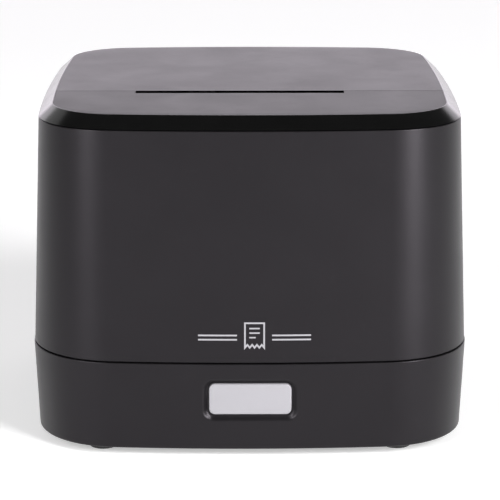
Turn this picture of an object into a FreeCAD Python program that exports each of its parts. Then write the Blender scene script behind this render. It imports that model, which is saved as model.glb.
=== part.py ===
import FreeCAD, Part
import math
import os
import re

import Sketcher

# A counter-top receipt printer for 80 mm paper. Millimetres. +X is the printer's right, -Y its front,
# +Z up. The origin is on the table, under the middle of the case.

Vector = FreeCAD.Vector

SIZES = {
    # Plan of the case at its widest: bowed sides joined by corner arcs
    "half_width": 83.0, "half_depth": 85.0, "bow_front": 616.5, "bow_side": 1137.0, "corner_radius": 33.3,
    # Levels of the outer pieces, from the table up
    "foot_height": 3.0, "base_top": 36.45, "shell_bottom": 36.9, "shell_top": 122.3, "rim_bottom": 122.6,
    "top_level": 127.24,
    # How far each edge of the outer pieces is set in from the widest plan
    "zero": 0.0, "base_inset": 1.475, "shell_lip": 0.3, "rim_inset": 3.68, "top_inset": 8.77,
    "wall": 2.5, "base_wall": 3.9, "base_floor": 2.5, "rim_wall": 2.4, "panel_rim": 0.4, "panel_depth": 0.8,
    # Corner bosses and the screws that hold the case together
    "boss_x": 67.2, "boss_y": 68.3, "boss_radius": 5.0, "boss_height": 15.0, "screw_hole": 1.7,
    "pilot_hole": 1.5, "screw_radius": 1.45, "head_radius": 2.8, "head_bore": 3.2, "head_level": 26.0,
    "head_height": 2.0, "case_screw_length": 22.0, "pilot_end": 1.0,
    # How far a cutting shape reaches past what it cuts
    "over": 1.0,
    # Rubber feet
    "foot_x": 55.0, "foot_y": 69.0, "foot_radius": 6.0, "foot_recess": 0.6, "foot_edge": 0.8,
    # Seam across the top, between the fixed front deck and the lid
    "seam_y": -27.83, "half_seam": 0.15, "slot_middle": -3.65, "slot_half": 39.5,
    # Tear bar in the paper slot
    "tear_front": -32.6, "tear_root": -29.5, "tear_tip": -28.6, "tear_pitch": 1.58, "tear_teeth": 50.0,
    "tear_level": 125.7, "tear_thickness": 0.7,
    # Feed button and its recess in the base
    "button_half": 15.15, "button_bottom": 16.9, "button_top": 28.6, "button_corner": 1.8,
    "button_face": 84.2, "button_depth": 4.2, "button_gap": 0.3, "recess_half": 17.8,
    "recess_bottom": 14.1, "recess_top": 30.9, "recess_corner": 4.0, "recess_depth": 83.1,
    "button_stem": 3.0, "button_flange": 1.4, "button_flange_thickness": 1.0,
    # The small board behind the feed button, with its switch and lights
    "switch_play": 1.1, "feed_switch_depth": 3.2, "feed_switch_half": 3.0, "button_board_half": 20.0,
    "button_board_top": 31.0, "light_x": 10.0, "light_half": 1.5, "light_rise": 1.0, "light_depth": 1.2,
    # Rear port panel
    "port_half": 56.0, "port_bottom": 7.5, "port_top": 30.0, "port_face": 79.2, "port_plate": 1.0,
    "port_frame": 2.0, "port_frame_front": 76.0, "port_frame_back": 79.4, "port_gap": 0.2,
    "socket_front": 63.2, "socket_back": 79.6, "cavity_front": 68.2,
    "lan_middle": -5.0, "lan_width": 16.0, "lan_height": 13.5, "lan_cavity_width": 11.8,
    "lan_cavity_height": 8.0, "lan_lift": 2.6,
    "drawer_middle": 19.0, "drawer_width": 13.6, "drawer_height": 13.0, "drawer_cavity_width": 10.0,
    "drawer_cavity_height": 8.0, "drawer_lift": 2.4,
    "usb_middle": -28.0, "usb_width": 12.0, "usb_height": 11.0, "usb_cavity_width": 8.5,
    "usb_cavity_height": 7.8, "usb_lift": 1.6, "tongue_half": 2.8, "tongue_bottom": 15.2,
    "tongue_top": 18.4, "tongue_front": 67.7, "tongue_back": 77.2,
    "inlet_middle": -46.0, "inlet_width": 14.0, "inlet_height": 14.0, "inlet_axis": 7.0,
    "inlet_hole": 4.9, "inlet_depth": 10.0, "inlet_pin": 0.6, "inlet_pin_length": 7.0,
    "inlet_pin_start": 0.5,
    # Clips under the front deck, and the hollows that lighten the deck and the lid
    "clip_half": 6.0, "clip_front": 74.0, "clip_back": 72.0, "clip_length": 7.2,
    "deck_hollow_side": 20.0, "deck_hollow_front": 15.0, "ledge_wall": 3.0, "lid_hollow_inset": 22.0,
    # Lid hinge, at the upper rear edge
    "hinge_y": 82.0, "hinge_z": 119.5, "knuckle_radius": 2.8, "pin_radius": 1.2, "pin_hole": 1.25,
    "hinge_start": 6.0, "knuckle_inner": 13.7, "knuckle_outer": 24.3, "hinge_end": 32.0,
    "knuckle_gap": 0.3, "hinge_notch": 116.2, "notch_reach": 6.0, "arm_shoulder": 1.4, "arm_slope": 1.2,
    "arm_drop": 2.4,
    # Roll bin, a trough for a roll 80 mm across
    "bin_y": 32.0, "bin_z": 79.5, "bin_radius": 40.5, "bin_half": 41.0, "bin_wall": 2.0, "bin_top": 117.0,
    "tray_inset": 3.2, "tray_thickness": 2.0, "tray_boss_gap": 6.2,
    # Platen: shaft, rubber roller, bushes
    "platen_y": -21.2, "platen_z": 107.5, "roller_radius": 6.3, "core_radius": 4.0, "shaft_radius": 2.5,
    "shaft_left": -53.5, "shaft_right": 50.5, "bush_radius": 4.0, "bush_flange": 5.0,
    "bush_hole": 2.55, "ear_inside": 41.0, "ear_thickness": 2.0, "ear_bottom": 101.0, "ear_front": -26.5,
    "ear_back": -15.5, "fit_gap": 0.05, "roller_edge": 0.3, "bush_flange_thickness": 0.8,
    # Lid liner
    "liner_inset": 12.0, "liner_thickness": 2.0, "liner_front": -26.6, "holder_bottom": 117.0,
    "holder_back": -17.0,
    # Mechanism frame, folded from sheet
    "frame_left": -50.0, "frame_right": 42.7, "frame_front": -66.0, "frame_back": -8.0, "sheet": 1.2,
    "frame_top": 112.4, "frame_step": -31.0, "frame_step_top": 111.0, "notch_play": 0.15,
    "notch_flare": 1.1, "cross_bar": -38.2, "bar_bottom": 92.0, "bar_top": 110.0, "window_side": 12.0,
    "window_bottom": 52.0, "window_top": 100.0, "fixing_inset": 6.0, "fixing_back": 5.0,
    # Print head on its pivot pin
    "head_face": -27.85, "strip_thickness": 1.0, "head_thickness": 4.0, "head_top": 110.5,
    "head_bottom": 91.2, "strip_bottom": 97.0, "head_half": 38.5, "head_pin_y": -31.0,
    "head_pin_z": 94.0, "head_pin_radius": 1.5, "grooves": 3.0, "groove_bottom": 98.0,
    "groove_width": 1.6, "groove_pitch": 3.6, "groove_depth": 1.2,
    # Leaf spring behind the head
    "spring_foot_half": 6.0, "spring_half": 5.0, "spring_sheet": 0.4, "spring_reach": 2.2,
    "spring_foot_bottom": 94.5, "spring_foot_top": 98.0, "spring_lap": 0.4, "leaf_bottom": 99.8,
    "leaf_top": 108.0,
    # Gear train that feeds the paper
    "feed_module": 0.6, "platen_teeth": 17.0, "idler_teeth": 50.0, "motor_teeth": 15.0, "gear_left": 46.0,
    "gear_width": 4.0, "mesh_play": 0.12, "idler_angle": 250.0, "motor_angle": 250.0,
    "idler_bore": 2.05, "stud_radius": 2.0, "motor_shaft": 1.25, "feed_motor_radius": 17.5,
    "feed_motor_length": 22.0, "bore_play": 0.02, "stud_end": 0.6, "feed_shaft_depth": 3.0,
    "feed_bore_depth": 4.0, "frame_shaft_play": 1.0,
    # Cutter on its plate above the head
    "plate_top": 114.5, "plate_thickness": 2.0, "plate_back": -31.0, "blade_bottom": 114.7,
    "blade_thickness": 0.8, "blade_front": -62.6, "blade_edge": -29.0, "blade_half": 38.4,
    "blade_travel": 6.0, "rack_module": 0.8, "rack_teeth": 8.0, "teeth_ahead": 5.0, "pinion_teeth": 14.0,
    "rack_height": 2.4, "rack_width": 4.0, "cutter_x": -10.0, "cutter_y": -50.0, "cutter_module": 0.5,
    "cutter_teeth": 36.0, "cutter_pinion_teeth": 12.0, "cutter_gear_level": 118.4,
    "cutter_gear_width": 2.4, "post_radius": 1.5, "post_bore": 1.55, "post_top": 121.4,
    "post_slot": 2.4, "cutter_motor_radius": 10.0, "cutter_motor_length": 24.0, "blade_vee": 1.5,
    "gear_lift": 0.3, "cutter_shaft": 0.995, "cutter_bore_play": 0.03, "can_play": 0.13,
    "cutter_shaft_depth": 6.0, "cutter_bore_depth": 8.0,
    "fixed_blade_bottom": 115.6, "fixed_blade_edge": -27.2, "fixed_blade_half": 40.4,
    # Latch levers over the ends of the platen shaft
    "latch_y": -14.0, "latch_z": 88.0, "latch_pin": 2.0, "latch_thickness": 2.0, "latch_eye": 5.0,
    "nose_bottom": 110.3, "nose_top": 113.8, "nose_tip": -22.6, "arm_front": -17.6, "arm_back": -9.6,
    "tab_back": -6.6, "tab_bottom": 98.0, "tab_top": 102.0, "tab_end": 57.5,
    "latch_left_x": -52.6, "latch_right_x": 43.3, "nose_bevel": 1.0, "tab_root": 1.0,
    "tab_thickness": 3.0,
    # Release button in the right-hand wall
    "release_y": -14.0, "release_z": 107.0, "release_half": 7.0, "release_rise": 4.0, "release_gap": 0.3,
    "release_face": 79.6, "release_flange": 76.2, "release_thickness": 1.6, "wedge_start": 54.0,
    "wedge_end": 61.0, "wedge_back": -9.9, "wedge_slope": 0.83, "release_border": 2.0,
    "stem_level": 98.5, "stem_height": 5.0, "stem_thickness": 2.0, "stem_root": 0.5,
    # Main board and what stands on it
    "board_half": 60.0, "board_front": -25.0, "board_back": 75.8, "board_level": 9.5,
    "board_thickness": 1.6, "post_x": 52.0, "post_front": -12.0, "post_back": 56.0, "post_size": 3.2,
    "board_screw_radius": 1.2, "board_hole_play": 0.2, "board_head_height": 1.6, "screw_end_gap": 0.3,
    "processor_half": 9.0, "processor_front": 10.0, "processor_height": 1.4,
    "driver_left": 18.0, "driver_right": 30.0, "driver_front": -8.0, "driver_back": 2.0,
    "driver_height": 1.8, "connector_border": 2.0, "connector_depth": 5.0, "connector_height": 3.0,
    "capacitor_radius": 5.0, "capacitor_height": 16.0,
    # Power switch and its rocker
    "switch_left": 37.0, "switch_right": 53.0, "switch_bottom": 12.0, "switch_top": 28.0,
    "switch_wall": 1.5, "switch_front": 67.2, "switch_back": 79.8, "well_front": 71.2,
    "rocker_pin": 1.2, "rocker_y": 78.2, "rocker_z": 20.0, "rocker_gap": 0.5, "rocker_pin_gap": 1.2,
    "rocker_depth": 3.0, "rocker_half": 3.5, "rocker_edge": 1.6, "rocker_reach": 6.0,
    "rocker_middle": 0.4, "rocker_tilt": 7.0,
    # Paper-end sensor
    "sensor_half": 5.0, "sensor_depth": 3.0, "sensor_bottom": 92.0, "sensor_top": 99.0,
    # Head ribbon
    "ribbon_left": -35.0, "ribbon_width": 40.0, "ribbon_thickness": 0.3, "ribbon_y": -34.6,
    "ribbon_top": 89.0, "ribbon_bend": 4.0, "ribbon_level": 12.4, "ribbon_end": -22.0,
    "ribbon_side_gap": 1.0, "ribbon_slot": 2.0, "ribbon_slot_rise": 6.0,
    # Blank rating plate under the base
    "plate_half_x": 30.0, "plate_half_y": 18.0, "label_recess": 0.3, "label_thickness": 0.25,
}

# Places of the board's capacitors, and of the inlet's contacts from its axis
CAPACITORS = [("-44", "22"), ("-32", "34")]
INLET_PINS = [("-2.2", "1"), ("2.2", "1"), ("0", "-2.2")]

doc = FreeCAD.newDocument("receipt_printer")
sheet = doc.addObject("Spreadsheet::Sheet", "sizes")
for row, (alias, number) in enumerate(SIZES.items(), start=1):
    sheet.set(f"A{row}", alias)
    sheet.set(f"B{row}", str(number))
    sheet.setAlias(f"B{row}", alias)
doc.recompute()

nodes = []


def bound(text):
    """The expression with every size's name pointing at its cell in the sheet."""
    return re.sub(r"[a-z][a-z_]*", lambda word: f"sizes.{word[0]}" if word[0] in SIZES else word[0],
                  str(text))


def number(text):
    """The value of an expression of sizes, worked out by FreeCAD, for shapes that code makes."""
    return float(sheet.evalExpression(bound(text)))


def keep(item, label):
    """Marks a finished sub-part, which is written to a file of its own under this label."""
    item.Label = label
    nodes.append(item)
    return item


# Part primitives and booleans

def box(name, x_low, x_high, y_low, y_high, z_low, z_high):
    """A box between two corners, each bound an expression of sizes."""
    item = doc.addObject("Part::Box", name)
    for side, low, high in (("Length", x_low, x_high), ("Width", y_low, y_high), ("Height", z_low, z_high)):
        item.setExpression(side, bound(f"({high}) - ({low})"))
    for axis, low in (("x", x_low), ("y", y_low), ("z", z_low)):
        item.setExpression(f"Placement.Base.{axis}", bound(low))
    return item


def cylinder(name, radius, length, centre, along="z"):
    """A cylinder that starts at its centre point and runs along one axis, bound to sizes."""
    turns = {"x": FreeCAD.Rotation(Vector(0, 1, 0), 90), "y": FreeCAD.Rotation(Vector(1, 0, 0), -90),
             "z": FreeCAD.Rotation()}
    item = doc.addObject("Part::Cylinder", name)
    item.Placement = FreeCAD.Placement(Vector(), turns[along])
    item.setExpression("Radius", bound(radius))
    item.setExpression("Height", bound(length))
    for axis, place in zip("xyz", centre):
        item.setExpression(f"Placement.Base.{axis}", bound(place))
    return item


def fuse(name, parts):
    """All the parts as one solid."""
    item = doc.addObject("Part::MultiFuse", name)
    item.Shapes = parts
    item.Refine = True
    return item


def cut(name, base, tools):
    """The base less every tool."""
    item = doc.addObject("Part::Cut", name)
    item.Base = base
    item.Tool = tools[0] if len(tools) == 1 else fuse(f"{name}_tools", tools)
    return item


# PartDesign bodies and sketches

def new_body(label):
    return keep(doc.addObject("PartDesign::Body", label), label)


def sketch_on(body, name, role, height="0"):
    """A sketch on one of the body's own origin planes, moved along the plane's normal."""
    plane = next(item for item in body.Origin.OriginFeatures if item.Role == role)
    sketch = body.newObject("Sketcher::SketchObject", name)
    sketch.AttachmentSupport = [(plane, "")]
    sketch.MapMode = "FlatFace"
    sketch.setExpression("AttachmentOffset.Base.z", bound(height))
    return sketch


def dimension(sketch, kind, places, size):
    """A dimension constraint whose value is an expression of sizes."""
    index = sketch.addConstraint(Sketcher.Constraint(kind, *places, number(size)))
    sketch.setExpression(f"Constraints[{index}]", bound(size))


def polygon(sketch, points):
    """A closed outline of straight lines through points whose coordinates are expressions."""
    corners = [Vector(number(x), number(y), 0) for x, y in points]
    lines = [sketch.addGeometry(Part.LineSegment(start, end), False)
             for start, end in zip(corners, corners[1:] + corners[:1])]
    for line, following in zip(lines, lines[1:] + lines[:1]):
        sketch.addConstraint(Sketcher.Constraint("Coincident", line, 2, following, 1))
    for line, (x, y) in zip(lines, points):
        dimension(sketch, "DistanceX", (-1, 1, line, 1), x)
        dimension(sketch, "DistanceY", (-1, 1, line, 1), y)


def rectangle(sketch, x_low, x_high, y_low, y_high):
    polygon(sketch, [(x_low, y_low), (x_high, y_low), (x_high, y_high), (x_low, y_high)])


def circle(sketch, x, y, radius):
    centre = Vector(number(x), number(y), 0)
    ring = sketch.addGeometry(Part.Circle(centre, Vector(0, 0, 1), number(radius)), False)
    dimension(sketch, "Radius", (ring,), radius)
    dimension(sketch, "DistanceX", (-1, 1, ring, 3), x)
    dimension(sketch, "DistanceY", (-1, 1, ring, 3), y)


def arc(sketch, centre, radius, start, end):
    ring = Part.Circle(Vector(*centre, 0), Vector(0, 0, 1), radius)
    return sketch.addGeometry(Part.ArcOfCircle(ring, start, end), False)


def close_ring(sketch, curves):
    """Joins each curve's end to the next one's start, tangent."""
    for curve, following in zip(curves, curves[1:] + curves[:1]):
        sketch.addConstraint(Sketcher.Constraint("Tangent", curve, 2, following, 1))


def rounded_rectangle(sketch, x_low, x_high, y_low, y_high, radius):
    """A rectangle with round corners, drawn anticlockwise from its lower side."""
    left, right, low, high, bend = (number(size) for size in (x_low, x_high, y_low, y_high, radius))
    quarter = math.pi / 2
    corners = [((right - bend, low + bend), -quarter), ((right - bend, high - bend), 0.0),
               ((left + bend, high - bend), quarter), ((left + bend, low + bend), 2 * quarter)]
    ends = [((left + bend, low), (right - bend, low)), ((right, low + bend), (right, high - bend)),
            ((right - bend, high), (left + bend, high)), ((left, high - bend), (left, low + bend))]
    ring = []
    for (start, end), (centre, angle) in zip(ends, corners):
        ring.append(sketch.addGeometry(Part.LineSegment(Vector(*start, 0), Vector(*end, 0)), False))
        ring.append(arc(sketch, centre, bend, angle, angle + quarter))
    close_ring(sketch, ring)
    for side, kind in zip(ring[::2], ("Horizontal", "Vertical", "Horizontal", "Vertical")):
        sketch.addConstraint(Sketcher.Constraint(kind, side))
    for corner in ring[1::2]:
        dimension(sketch, "Radius", (corner,), radius)
    for side, kind, place in zip(ring[::2], ("DistanceY", "DistanceX") * 2, (y_low, x_high, y_high, x_low)):
        dimension(sketch, kind, (-1, 1, side, 1), place)


def case_outline(sketch, inset):
    """The printer's plan, set in by one amount: four bowed sides and four corner arcs, all tangent."""
    half_width, half_depth, front, side, corner = (
        number(f"{size} - ({inset})") for size in
        ("half_width", "half_depth", "bow_front", "bow_side", "corner_radius"))
    front_y = front - half_depth
    side_x = half_width - side
    # The corner's centre is as far from each bow's centre as that bow's radius less its own
    reach_front = front - corner
    reach_side = side - corner
    apart = math.hypot(side_x, front_y)
    along = (reach_front ** 2 - reach_side ** 2 + apart ** 2) / (2 * apart)
    across = math.sqrt(reach_front ** 2 - along ** 2)
    corner_x = (along * side_x + across * front_y) / apart
    corner_y = front_y - (along * front_y - across * side_x) / apart
    front_end = math.atan2(corner_y - front_y, corner_x)
    side_end = math.atan2(corner_y, corner_x - side_x)
    quarter = math.pi / 2
    half_front = front_end + quarter
    ring = [
        arc(sketch, (0, front_y), front, -quarter - half_front, -quarter + half_front),
        arc(sketch, (corner_x, corner_y), corner, front_end, side_end),
        arc(sketch, (side_x, 0), side, side_end, -side_end),
        arc(sketch, (corner_x, -corner_y), corner, -side_end, -front_end),
        arc(sketch, (0, -front_y), front, quarter - half_front, quarter + half_front),
        arc(sketch, (-corner_x, -corner_y), corner, math.pi + front_end, math.pi + side_end),
        arc(sketch, (-side_x, 0), side, math.pi + side_end, math.pi - side_end),
        arc(sketch, (-corner_x, corner_y), corner, math.pi - side_end, math.pi - front_end),
    ]
    close_ring(sketch, ring)
    for piece, radius in zip(ring, ("bow_front", "corner_radius", "bow_side", "corner_radius") * 2):
        dimension(sketch, "Radius", (piece,), f"{radius} - ({inset})")
    for piece, sign in ((ring[0], 1), (ring[4], -1)):
        dimension(sketch, "DistanceX", (-1, 1, piece, 3), "0")
        dimension(sketch, "DistanceY", (-1, 1, piece, 3), f"{sign} * (bow_front - half_depth)")
    for piece, sign in ((ring[2], -1), (ring[6], 1)):
        dimension(sketch, "DistanceX", (-1, 1, piece, 3), f"{sign} * (bow_side - half_width)")
        dimension(sketch, "DistanceY", (-1, 1, piece, 3), "0")


def pad(body, sketch, length, backwards=False, both_ways=False):
    feature = body.newObject("PartDesign::Pad", f"{sketch.Name}_pad")
    feature.Profile = sketch
    feature.Reversed = backwards
    feature.Midplane = both_ways
    feature.setExpression("Length", bound(length))
    return feature


def pocket(body, sketch, depth, backwards=False):
    """Cuts against the sketch's normal, or along it when backwards, and makes sure that it cuts."""
    doc.recompute()
    before = body.Shape.Volume
    feature = body.newObject("PartDesign::Pocket", f"{sketch.Name}_pocket")
    feature.Profile = sketch
    feature.Reversed = backwards
    feature.setExpression("Length", bound(depth))
    doc.recompute()
    if not body.Shape.Volume < before:
        raise RuntimeError(f"{feature.Name} cuts nothing")
    return feature


def case_loft(body, name, low, low_inset, high, high_inset, kind="AdditiveLoft"):
    """A ring of ruled walls between two case outlines at two levels."""
    ends = []
    for end, level, inset in (("low", low, low_inset), ("high", high, high_inset)):
        sketch = sketch_on(body, f"{name}_{end}", "XY_Plane", level)
        case_outline(sketch, inset)
        ends.append(sketch)
    feature = body.newObject(f"PartDesign::{kind}", f"{name}_loft")
    feature.Profile = ends[0]
    feature.Sections = [ends[1]]
    feature.Ruled = True
    return feature


def turned(label, profile, place, along="z"):
    """A turned piece: (length, radius) points, revolved about their base line, then set in place."""
    body = new_body(label)
    sketch = sketch_on(body, f"{label}_profile", "XZ_Plane")
    polygon(sketch, profile)
    revolution = body.newObject("PartDesign::Revolution", f"{label}_turn")
    revolution.Profile = sketch
    revolution.ReferenceAxis = (sketch, ["H_Axis"])
    revolution.Angle = 360
    if along == "z":
        body.Placement.Rotation = FreeCAD.Rotation(Vector(0, 1, 0), -90)
    for axis, size in zip("xyz", place):
        body.setExpression(f"Placement.Base.{axis}", bound(size))
    return body


def rod(label, radius, start, end, place, along="x"):
    """A plain round rod along an axis, from start to end."""
    places = {"x": (start, place[0], place[1]), "z": (place[0], place[1], start)}
    profile = [("0", "0"), (f"({end}) - ({start})", "0"), (f"({end}) - ({start})", radius), ("0", radius)]
    return turned(label, profile, places[along], along)


def flat_piece(points, along):
    """A flat outline through points, made in code, carried along a vector into a solid."""
    return Part.Face(Part.makePolygon(points + points[:1])).extrude(along)


# Gears and racks, made in code because their flanks are a formula. Heights are shares of the module.

PRESSURE = math.radians(20)
GEAR_ROOT = 1.25
GEAR_FLANK = 1.0
GEAR_TIP = 0.95
RACK_ROOT = 1.2
RACK_TIP = 0.9


def tooth_flank(module, teeth):
    """Three points of one involute flank as (radius, angle from the tooth's middle), root to tip."""
    pitch = module * teeth / 2
    base = pitch * math.cos(PRESSURE)
    involute = math.tan(PRESSURE) - PRESSURE
    half_tooth = math.pi / (2 * teeth)
    first = max(base, pitch - GEAR_FLANK * module)
    last = pitch + GEAR_TIP * module
    points = []
    for step in range(3):
        radius = first + (last - first) * step / 2
        turn = math.acos(base / radius)
        points.append((radius, half_tooth + involute - (math.tan(turn) - turn)))
    return points


def gear_shape(module, teeth, width, bore, first_gap):
    """A spur gear about Z whose first gap's middle lies at the angle first_gap, in degrees."""
    count = int(teeth)
    root = module * (teeth / 2 - GEAR_ROOT)
    flank = tooth_flank(module, teeth)

    def at(radius, angle):
        return Vector(radius * math.cos(angle), radius * math.sin(angle), 0)

    edges = []
    for index in range(count):
        middle = math.radians(first_gap) + (index + 0.5) * 2 * math.pi / count
        rise = [at(radius, middle - angle) for radius, angle in flank]
        fall = [at(radius, middle + angle) for radius, angle in reversed(flank)]
        foot_angle = flank[0][1]
        following = middle + 2 * math.pi / count
        edges += [
            Part.LineSegment(at(root, middle - foot_angle), rise[0]),
            Part.Arc(*rise),
            Part.Arc(rise[-1], at(flank[-1][0], middle), fall[0]),
            Part.Arc(*fall),
            Part.LineSegment(fall[-1], at(root, middle + foot_angle)),
            Part.Arc(at(root, middle + foot_angle), at(root, middle + math.pi / count),
                     at(root, following - foot_angle)),
        ]
    face = Part.Face(Part.Wire([edge.toShape() for edge in edges]))
    return face.extrude(Vector(0, 0, width)).cut(Part.makeCylinder(bore, width))


def toothed(label, shape, place, along="z"):
    """Keeps a shape made in code as a sub-part, its axis turned along X or left along Z."""
    item = keep(doc.addObject("Part::Feature", label), label)
    item.Shape = shape
    upright = FreeCAD.Rotation()
    lying = FreeCAD.Rotation(Vector(0, 1, 0), Vector(0, 0, 1), Vector(1, 0, 0), "ZXY")
    item.Placement = FreeCAD.Placement(Vector(*place), lying if along == "x" else upright)
    return item


def polar(centre, distance, degrees):
    """The point at a distance and an angle from a centre."""
    angle = math.radians(degrees)
    return (centre[0] + distance * math.cos(angle), centre[1] + distance * math.sin(angle))


# Outer case

def make_base_case():
    """The tray under the printer: floor, bosses, board posts, button recess and rear port window."""
    body = new_body("base_case")
    case_loft(body, "base", "foot_height", "base_inset", "base_top", "zero")
    inside = sketch_on(body, "base_inside", "XY_Plane", "base_top")
    case_outline(inside, "base_wall")
    pocket(body, inside, "base_top - foot_height - base_floor")
    bosses = sketch_on(body, "base_bosses", "XY_Plane", "foot_height + base_floor / 2")
    posts = sketch_on(body, "board_posts", "XY_Plane", "foot_height + base_floor / 2")
    screws = sketch_on(body, "base_screw_holes", "XY_Plane", "base_top")
    heads = sketch_on(body, "base_head_bores", "XY_Plane", "foot_height")
    feet = sketch_on(body, "foot_recesses", "XY_Plane", "foot_height")
    pilots = sketch_on(body, "board_pilots", "XY_Plane", "board_level")
    for side_x in (-1, 1):
        for side_y in (-1, 1):
            circle(bosses, f"{side_x} * boss_x", f"{side_y} * boss_y", "boss_radius")
            circle(screws, f"{side_x} * boss_x", f"{side_y} * boss_y", "screw_hole")
            circle(heads, f"{side_x} * boss_x", f"{side_y} * boss_y", "head_bore")
            circle(feet, f"{side_x} * foot_x", f"{side_y} * foot_y", "foot_radius + fit_gap")
        for post_y in ("post_front", "post_back"):
            circle(posts, f"{side_x} * post_x", post_y, "post_size")
            circle(pilots, f"{side_x} * post_x", post_y, "board_screw_radius + fit_gap")
    pad(body, bosses, "base_top - foot_height - base_floor / 2")
    pad(body, posts, "board_level - foot_height - base_floor / 2")
    pocket(body, screws, "base_top - foot_height")
    pocket(body, heads, "head_level - foot_height", backwards=True)
    pocket(body, feet, "foot_recess", backwards=True)
    pocket(body, pilots, "board_level - foot_height - base_floor")
    label = sketch_on(body, "label_recess", "XY_Plane", "foot_height")
    rectangle(label, "-plate_half_x", "plate_half_x", "-plate_half_y", "plate_half_y")
    pocket(body, label, "label_recess", backwards=True)
    recess = sketch_on(body, "button_recess", "XZ_Plane", "half_depth + over")
    rounded_rectangle(recess, "-recess_half", "recess_half", "recess_bottom", "recess_top", "recess_corner")
    pocket(body, recess, "half_depth + over - recess_depth")
    window = sketch_on(body, "button_window", "XZ_Plane", "half_depth + over")
    rounded_rectangle(window, "-button_half - button_gap", "button_half + button_gap",
                      "button_bottom - button_gap", "button_top + button_gap",
                      "button_corner + button_gap")
    pocket(body, window, "base_wall + base_inset + 2 * over")
    frame = sketch_on(body, "port_frame_outline", "XZ_Plane", "-port_frame_front")
    rectangle(frame, "-port_half - port_frame", "port_half + port_frame", "port_bottom - port_frame",
              "port_top + port_frame")
    pad(body, frame, "port_frame_back - port_frame_front", backwards=True)
    ports = sketch_on(body, "port_window", "XZ_Plane", "over - port_frame_front")
    rectangle(ports, "-port_half", "port_half", "port_bottom", "port_top")
    pocket(body, ports, "half_depth - port_frame_front + 2 * over")


def make_feet():
    """Four rubber feet, each seated in a shallow recess, with a broken lower edge."""
    profile = [("0", "0"), ("foot_height + foot_recess", "0"), ("foot_height + foot_recess", "foot_radius"),
               ("foot_edge", "foot_radius"), ("0", "foot_radius - foot_edge")]
    for end, side_y in (("front", -1), ("rear", 1)):
        for side, side_x in (("left", -1), ("right", 1)):
            turned(f"foot_{end}_{side}", profile, (f"{side_x} * foot_x", f"{side_y} * foot_y", "0"))


def make_case_screws():
    """Four screws that hold the shell down on the base, as one group."""
    group = []
    for side_x in (-1, 1):
        for side_y in (-1, 1):
            place = (f"{side_x} * boss_x", f"{side_y} * boss_y")
            head = cylinder("screw_head", "head_radius", "head_height",
                            (*place, "head_level - head_height"))
            shank = cylinder("screw_shank", "screw_radius", "case_screw_length", (*place, "head_level"))
            group.append(fuse("case_screw", [head, shank]))
    screws = doc.addObject("Part::Compound", "case_screw_group")
    screws.Links = group
    keep(screws, "case_screws")


def make_rating_plate():
    """A blank foil plate in its recess under the base."""
    top = "foot_height + label_recess"
    plate = box("rating_plate_box", "-plate_half_x + fit_gap", "plate_half_x - fit_gap",
                "-plate_half_y + fit_gap", "plate_half_y - fit_gap", f"{top} - label_thickness", top)
    keep(plate, "rating_plate")


def make_body_shell():
    """The tall outer wall, with corner bosses, hinge knuckles and the hole for the release button."""
    body = new_body("body_shell")
    case_loft(body, "shell", "shell_bottom", "shell_lip", "shell_top", "rim_inset")
    case_loft(body, "shell_inside", "shell_bottom", "shell_lip + wall", "shell_top", "rim_inset + wall",
              kind="SubtractiveLoft")
    bosses = sketch_on(body, "shell_bosses", "XY_Plane", "shell_bottom")
    pilots = sketch_on(body, "shell_pilots", "XY_Plane", "shell_bottom")
    for side_x in (-1, 1):
        for side_y in (-1, 1):
            circle(bosses, f"{side_x} * boss_x", f"{side_y} * boss_y", "boss_radius")
            circle(pilots, f"{side_x} * boss_x", f"{side_y} * boss_y", "pilot_hole")
    pad(body, bosses, "boss_height")
    pocket(body, pilots, "boss_height - pilot_end", backwards=True)
    for side, start, end in (("right", "knuckle_inner", "knuckle_outer"),
                             ("left", "-knuckle_outer", "-knuckle_inner")):
        notch = sketch_on(body, f"{side}_hinge_notch", "YZ_Plane", end)
        rectangle(notch, "hinge_y - notch_reach", "half_depth", "hinge_notch", "shell_top + over")
        pocket(body, notch, f"({end}) - ({start})")
    for index, start in enumerate(("-hinge_end", "-knuckle_inner", "hinge_start", "knuckle_outer")):
        knuckle = sketch_on(body, f"knuckle_{index}", "YZ_Plane", start)
        circle(knuckle, "hinge_y", "hinge_z", "knuckle_radius")
        pad(body, knuckle, "hinge_end - knuckle_outer")
    for index, start in enumerate(("-hinge_end", "-knuckle_inner", "hinge_start", "knuckle_outer")):
        hole = sketch_on(body, f"knuckle_hole_{index}", "YZ_Plane", start)
        circle(hole, "hinge_y", "hinge_z", "pin_hole")
        pocket(body, hole, "hinge_end - knuckle_outer", backwards=True)
    release = sketch_on(body, "release_hole", "YZ_Plane", "half_width")
    rounded_rectangle(release, "release_y - release_half - release_gap",
                      "release_y + release_half + release_gap",
                      "release_z - release_rise - release_gap", "release_z + release_rise + release_gap",
                      "release_rise")
    pocket(body, release, "half_width - release_flange + 2 * over")


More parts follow.
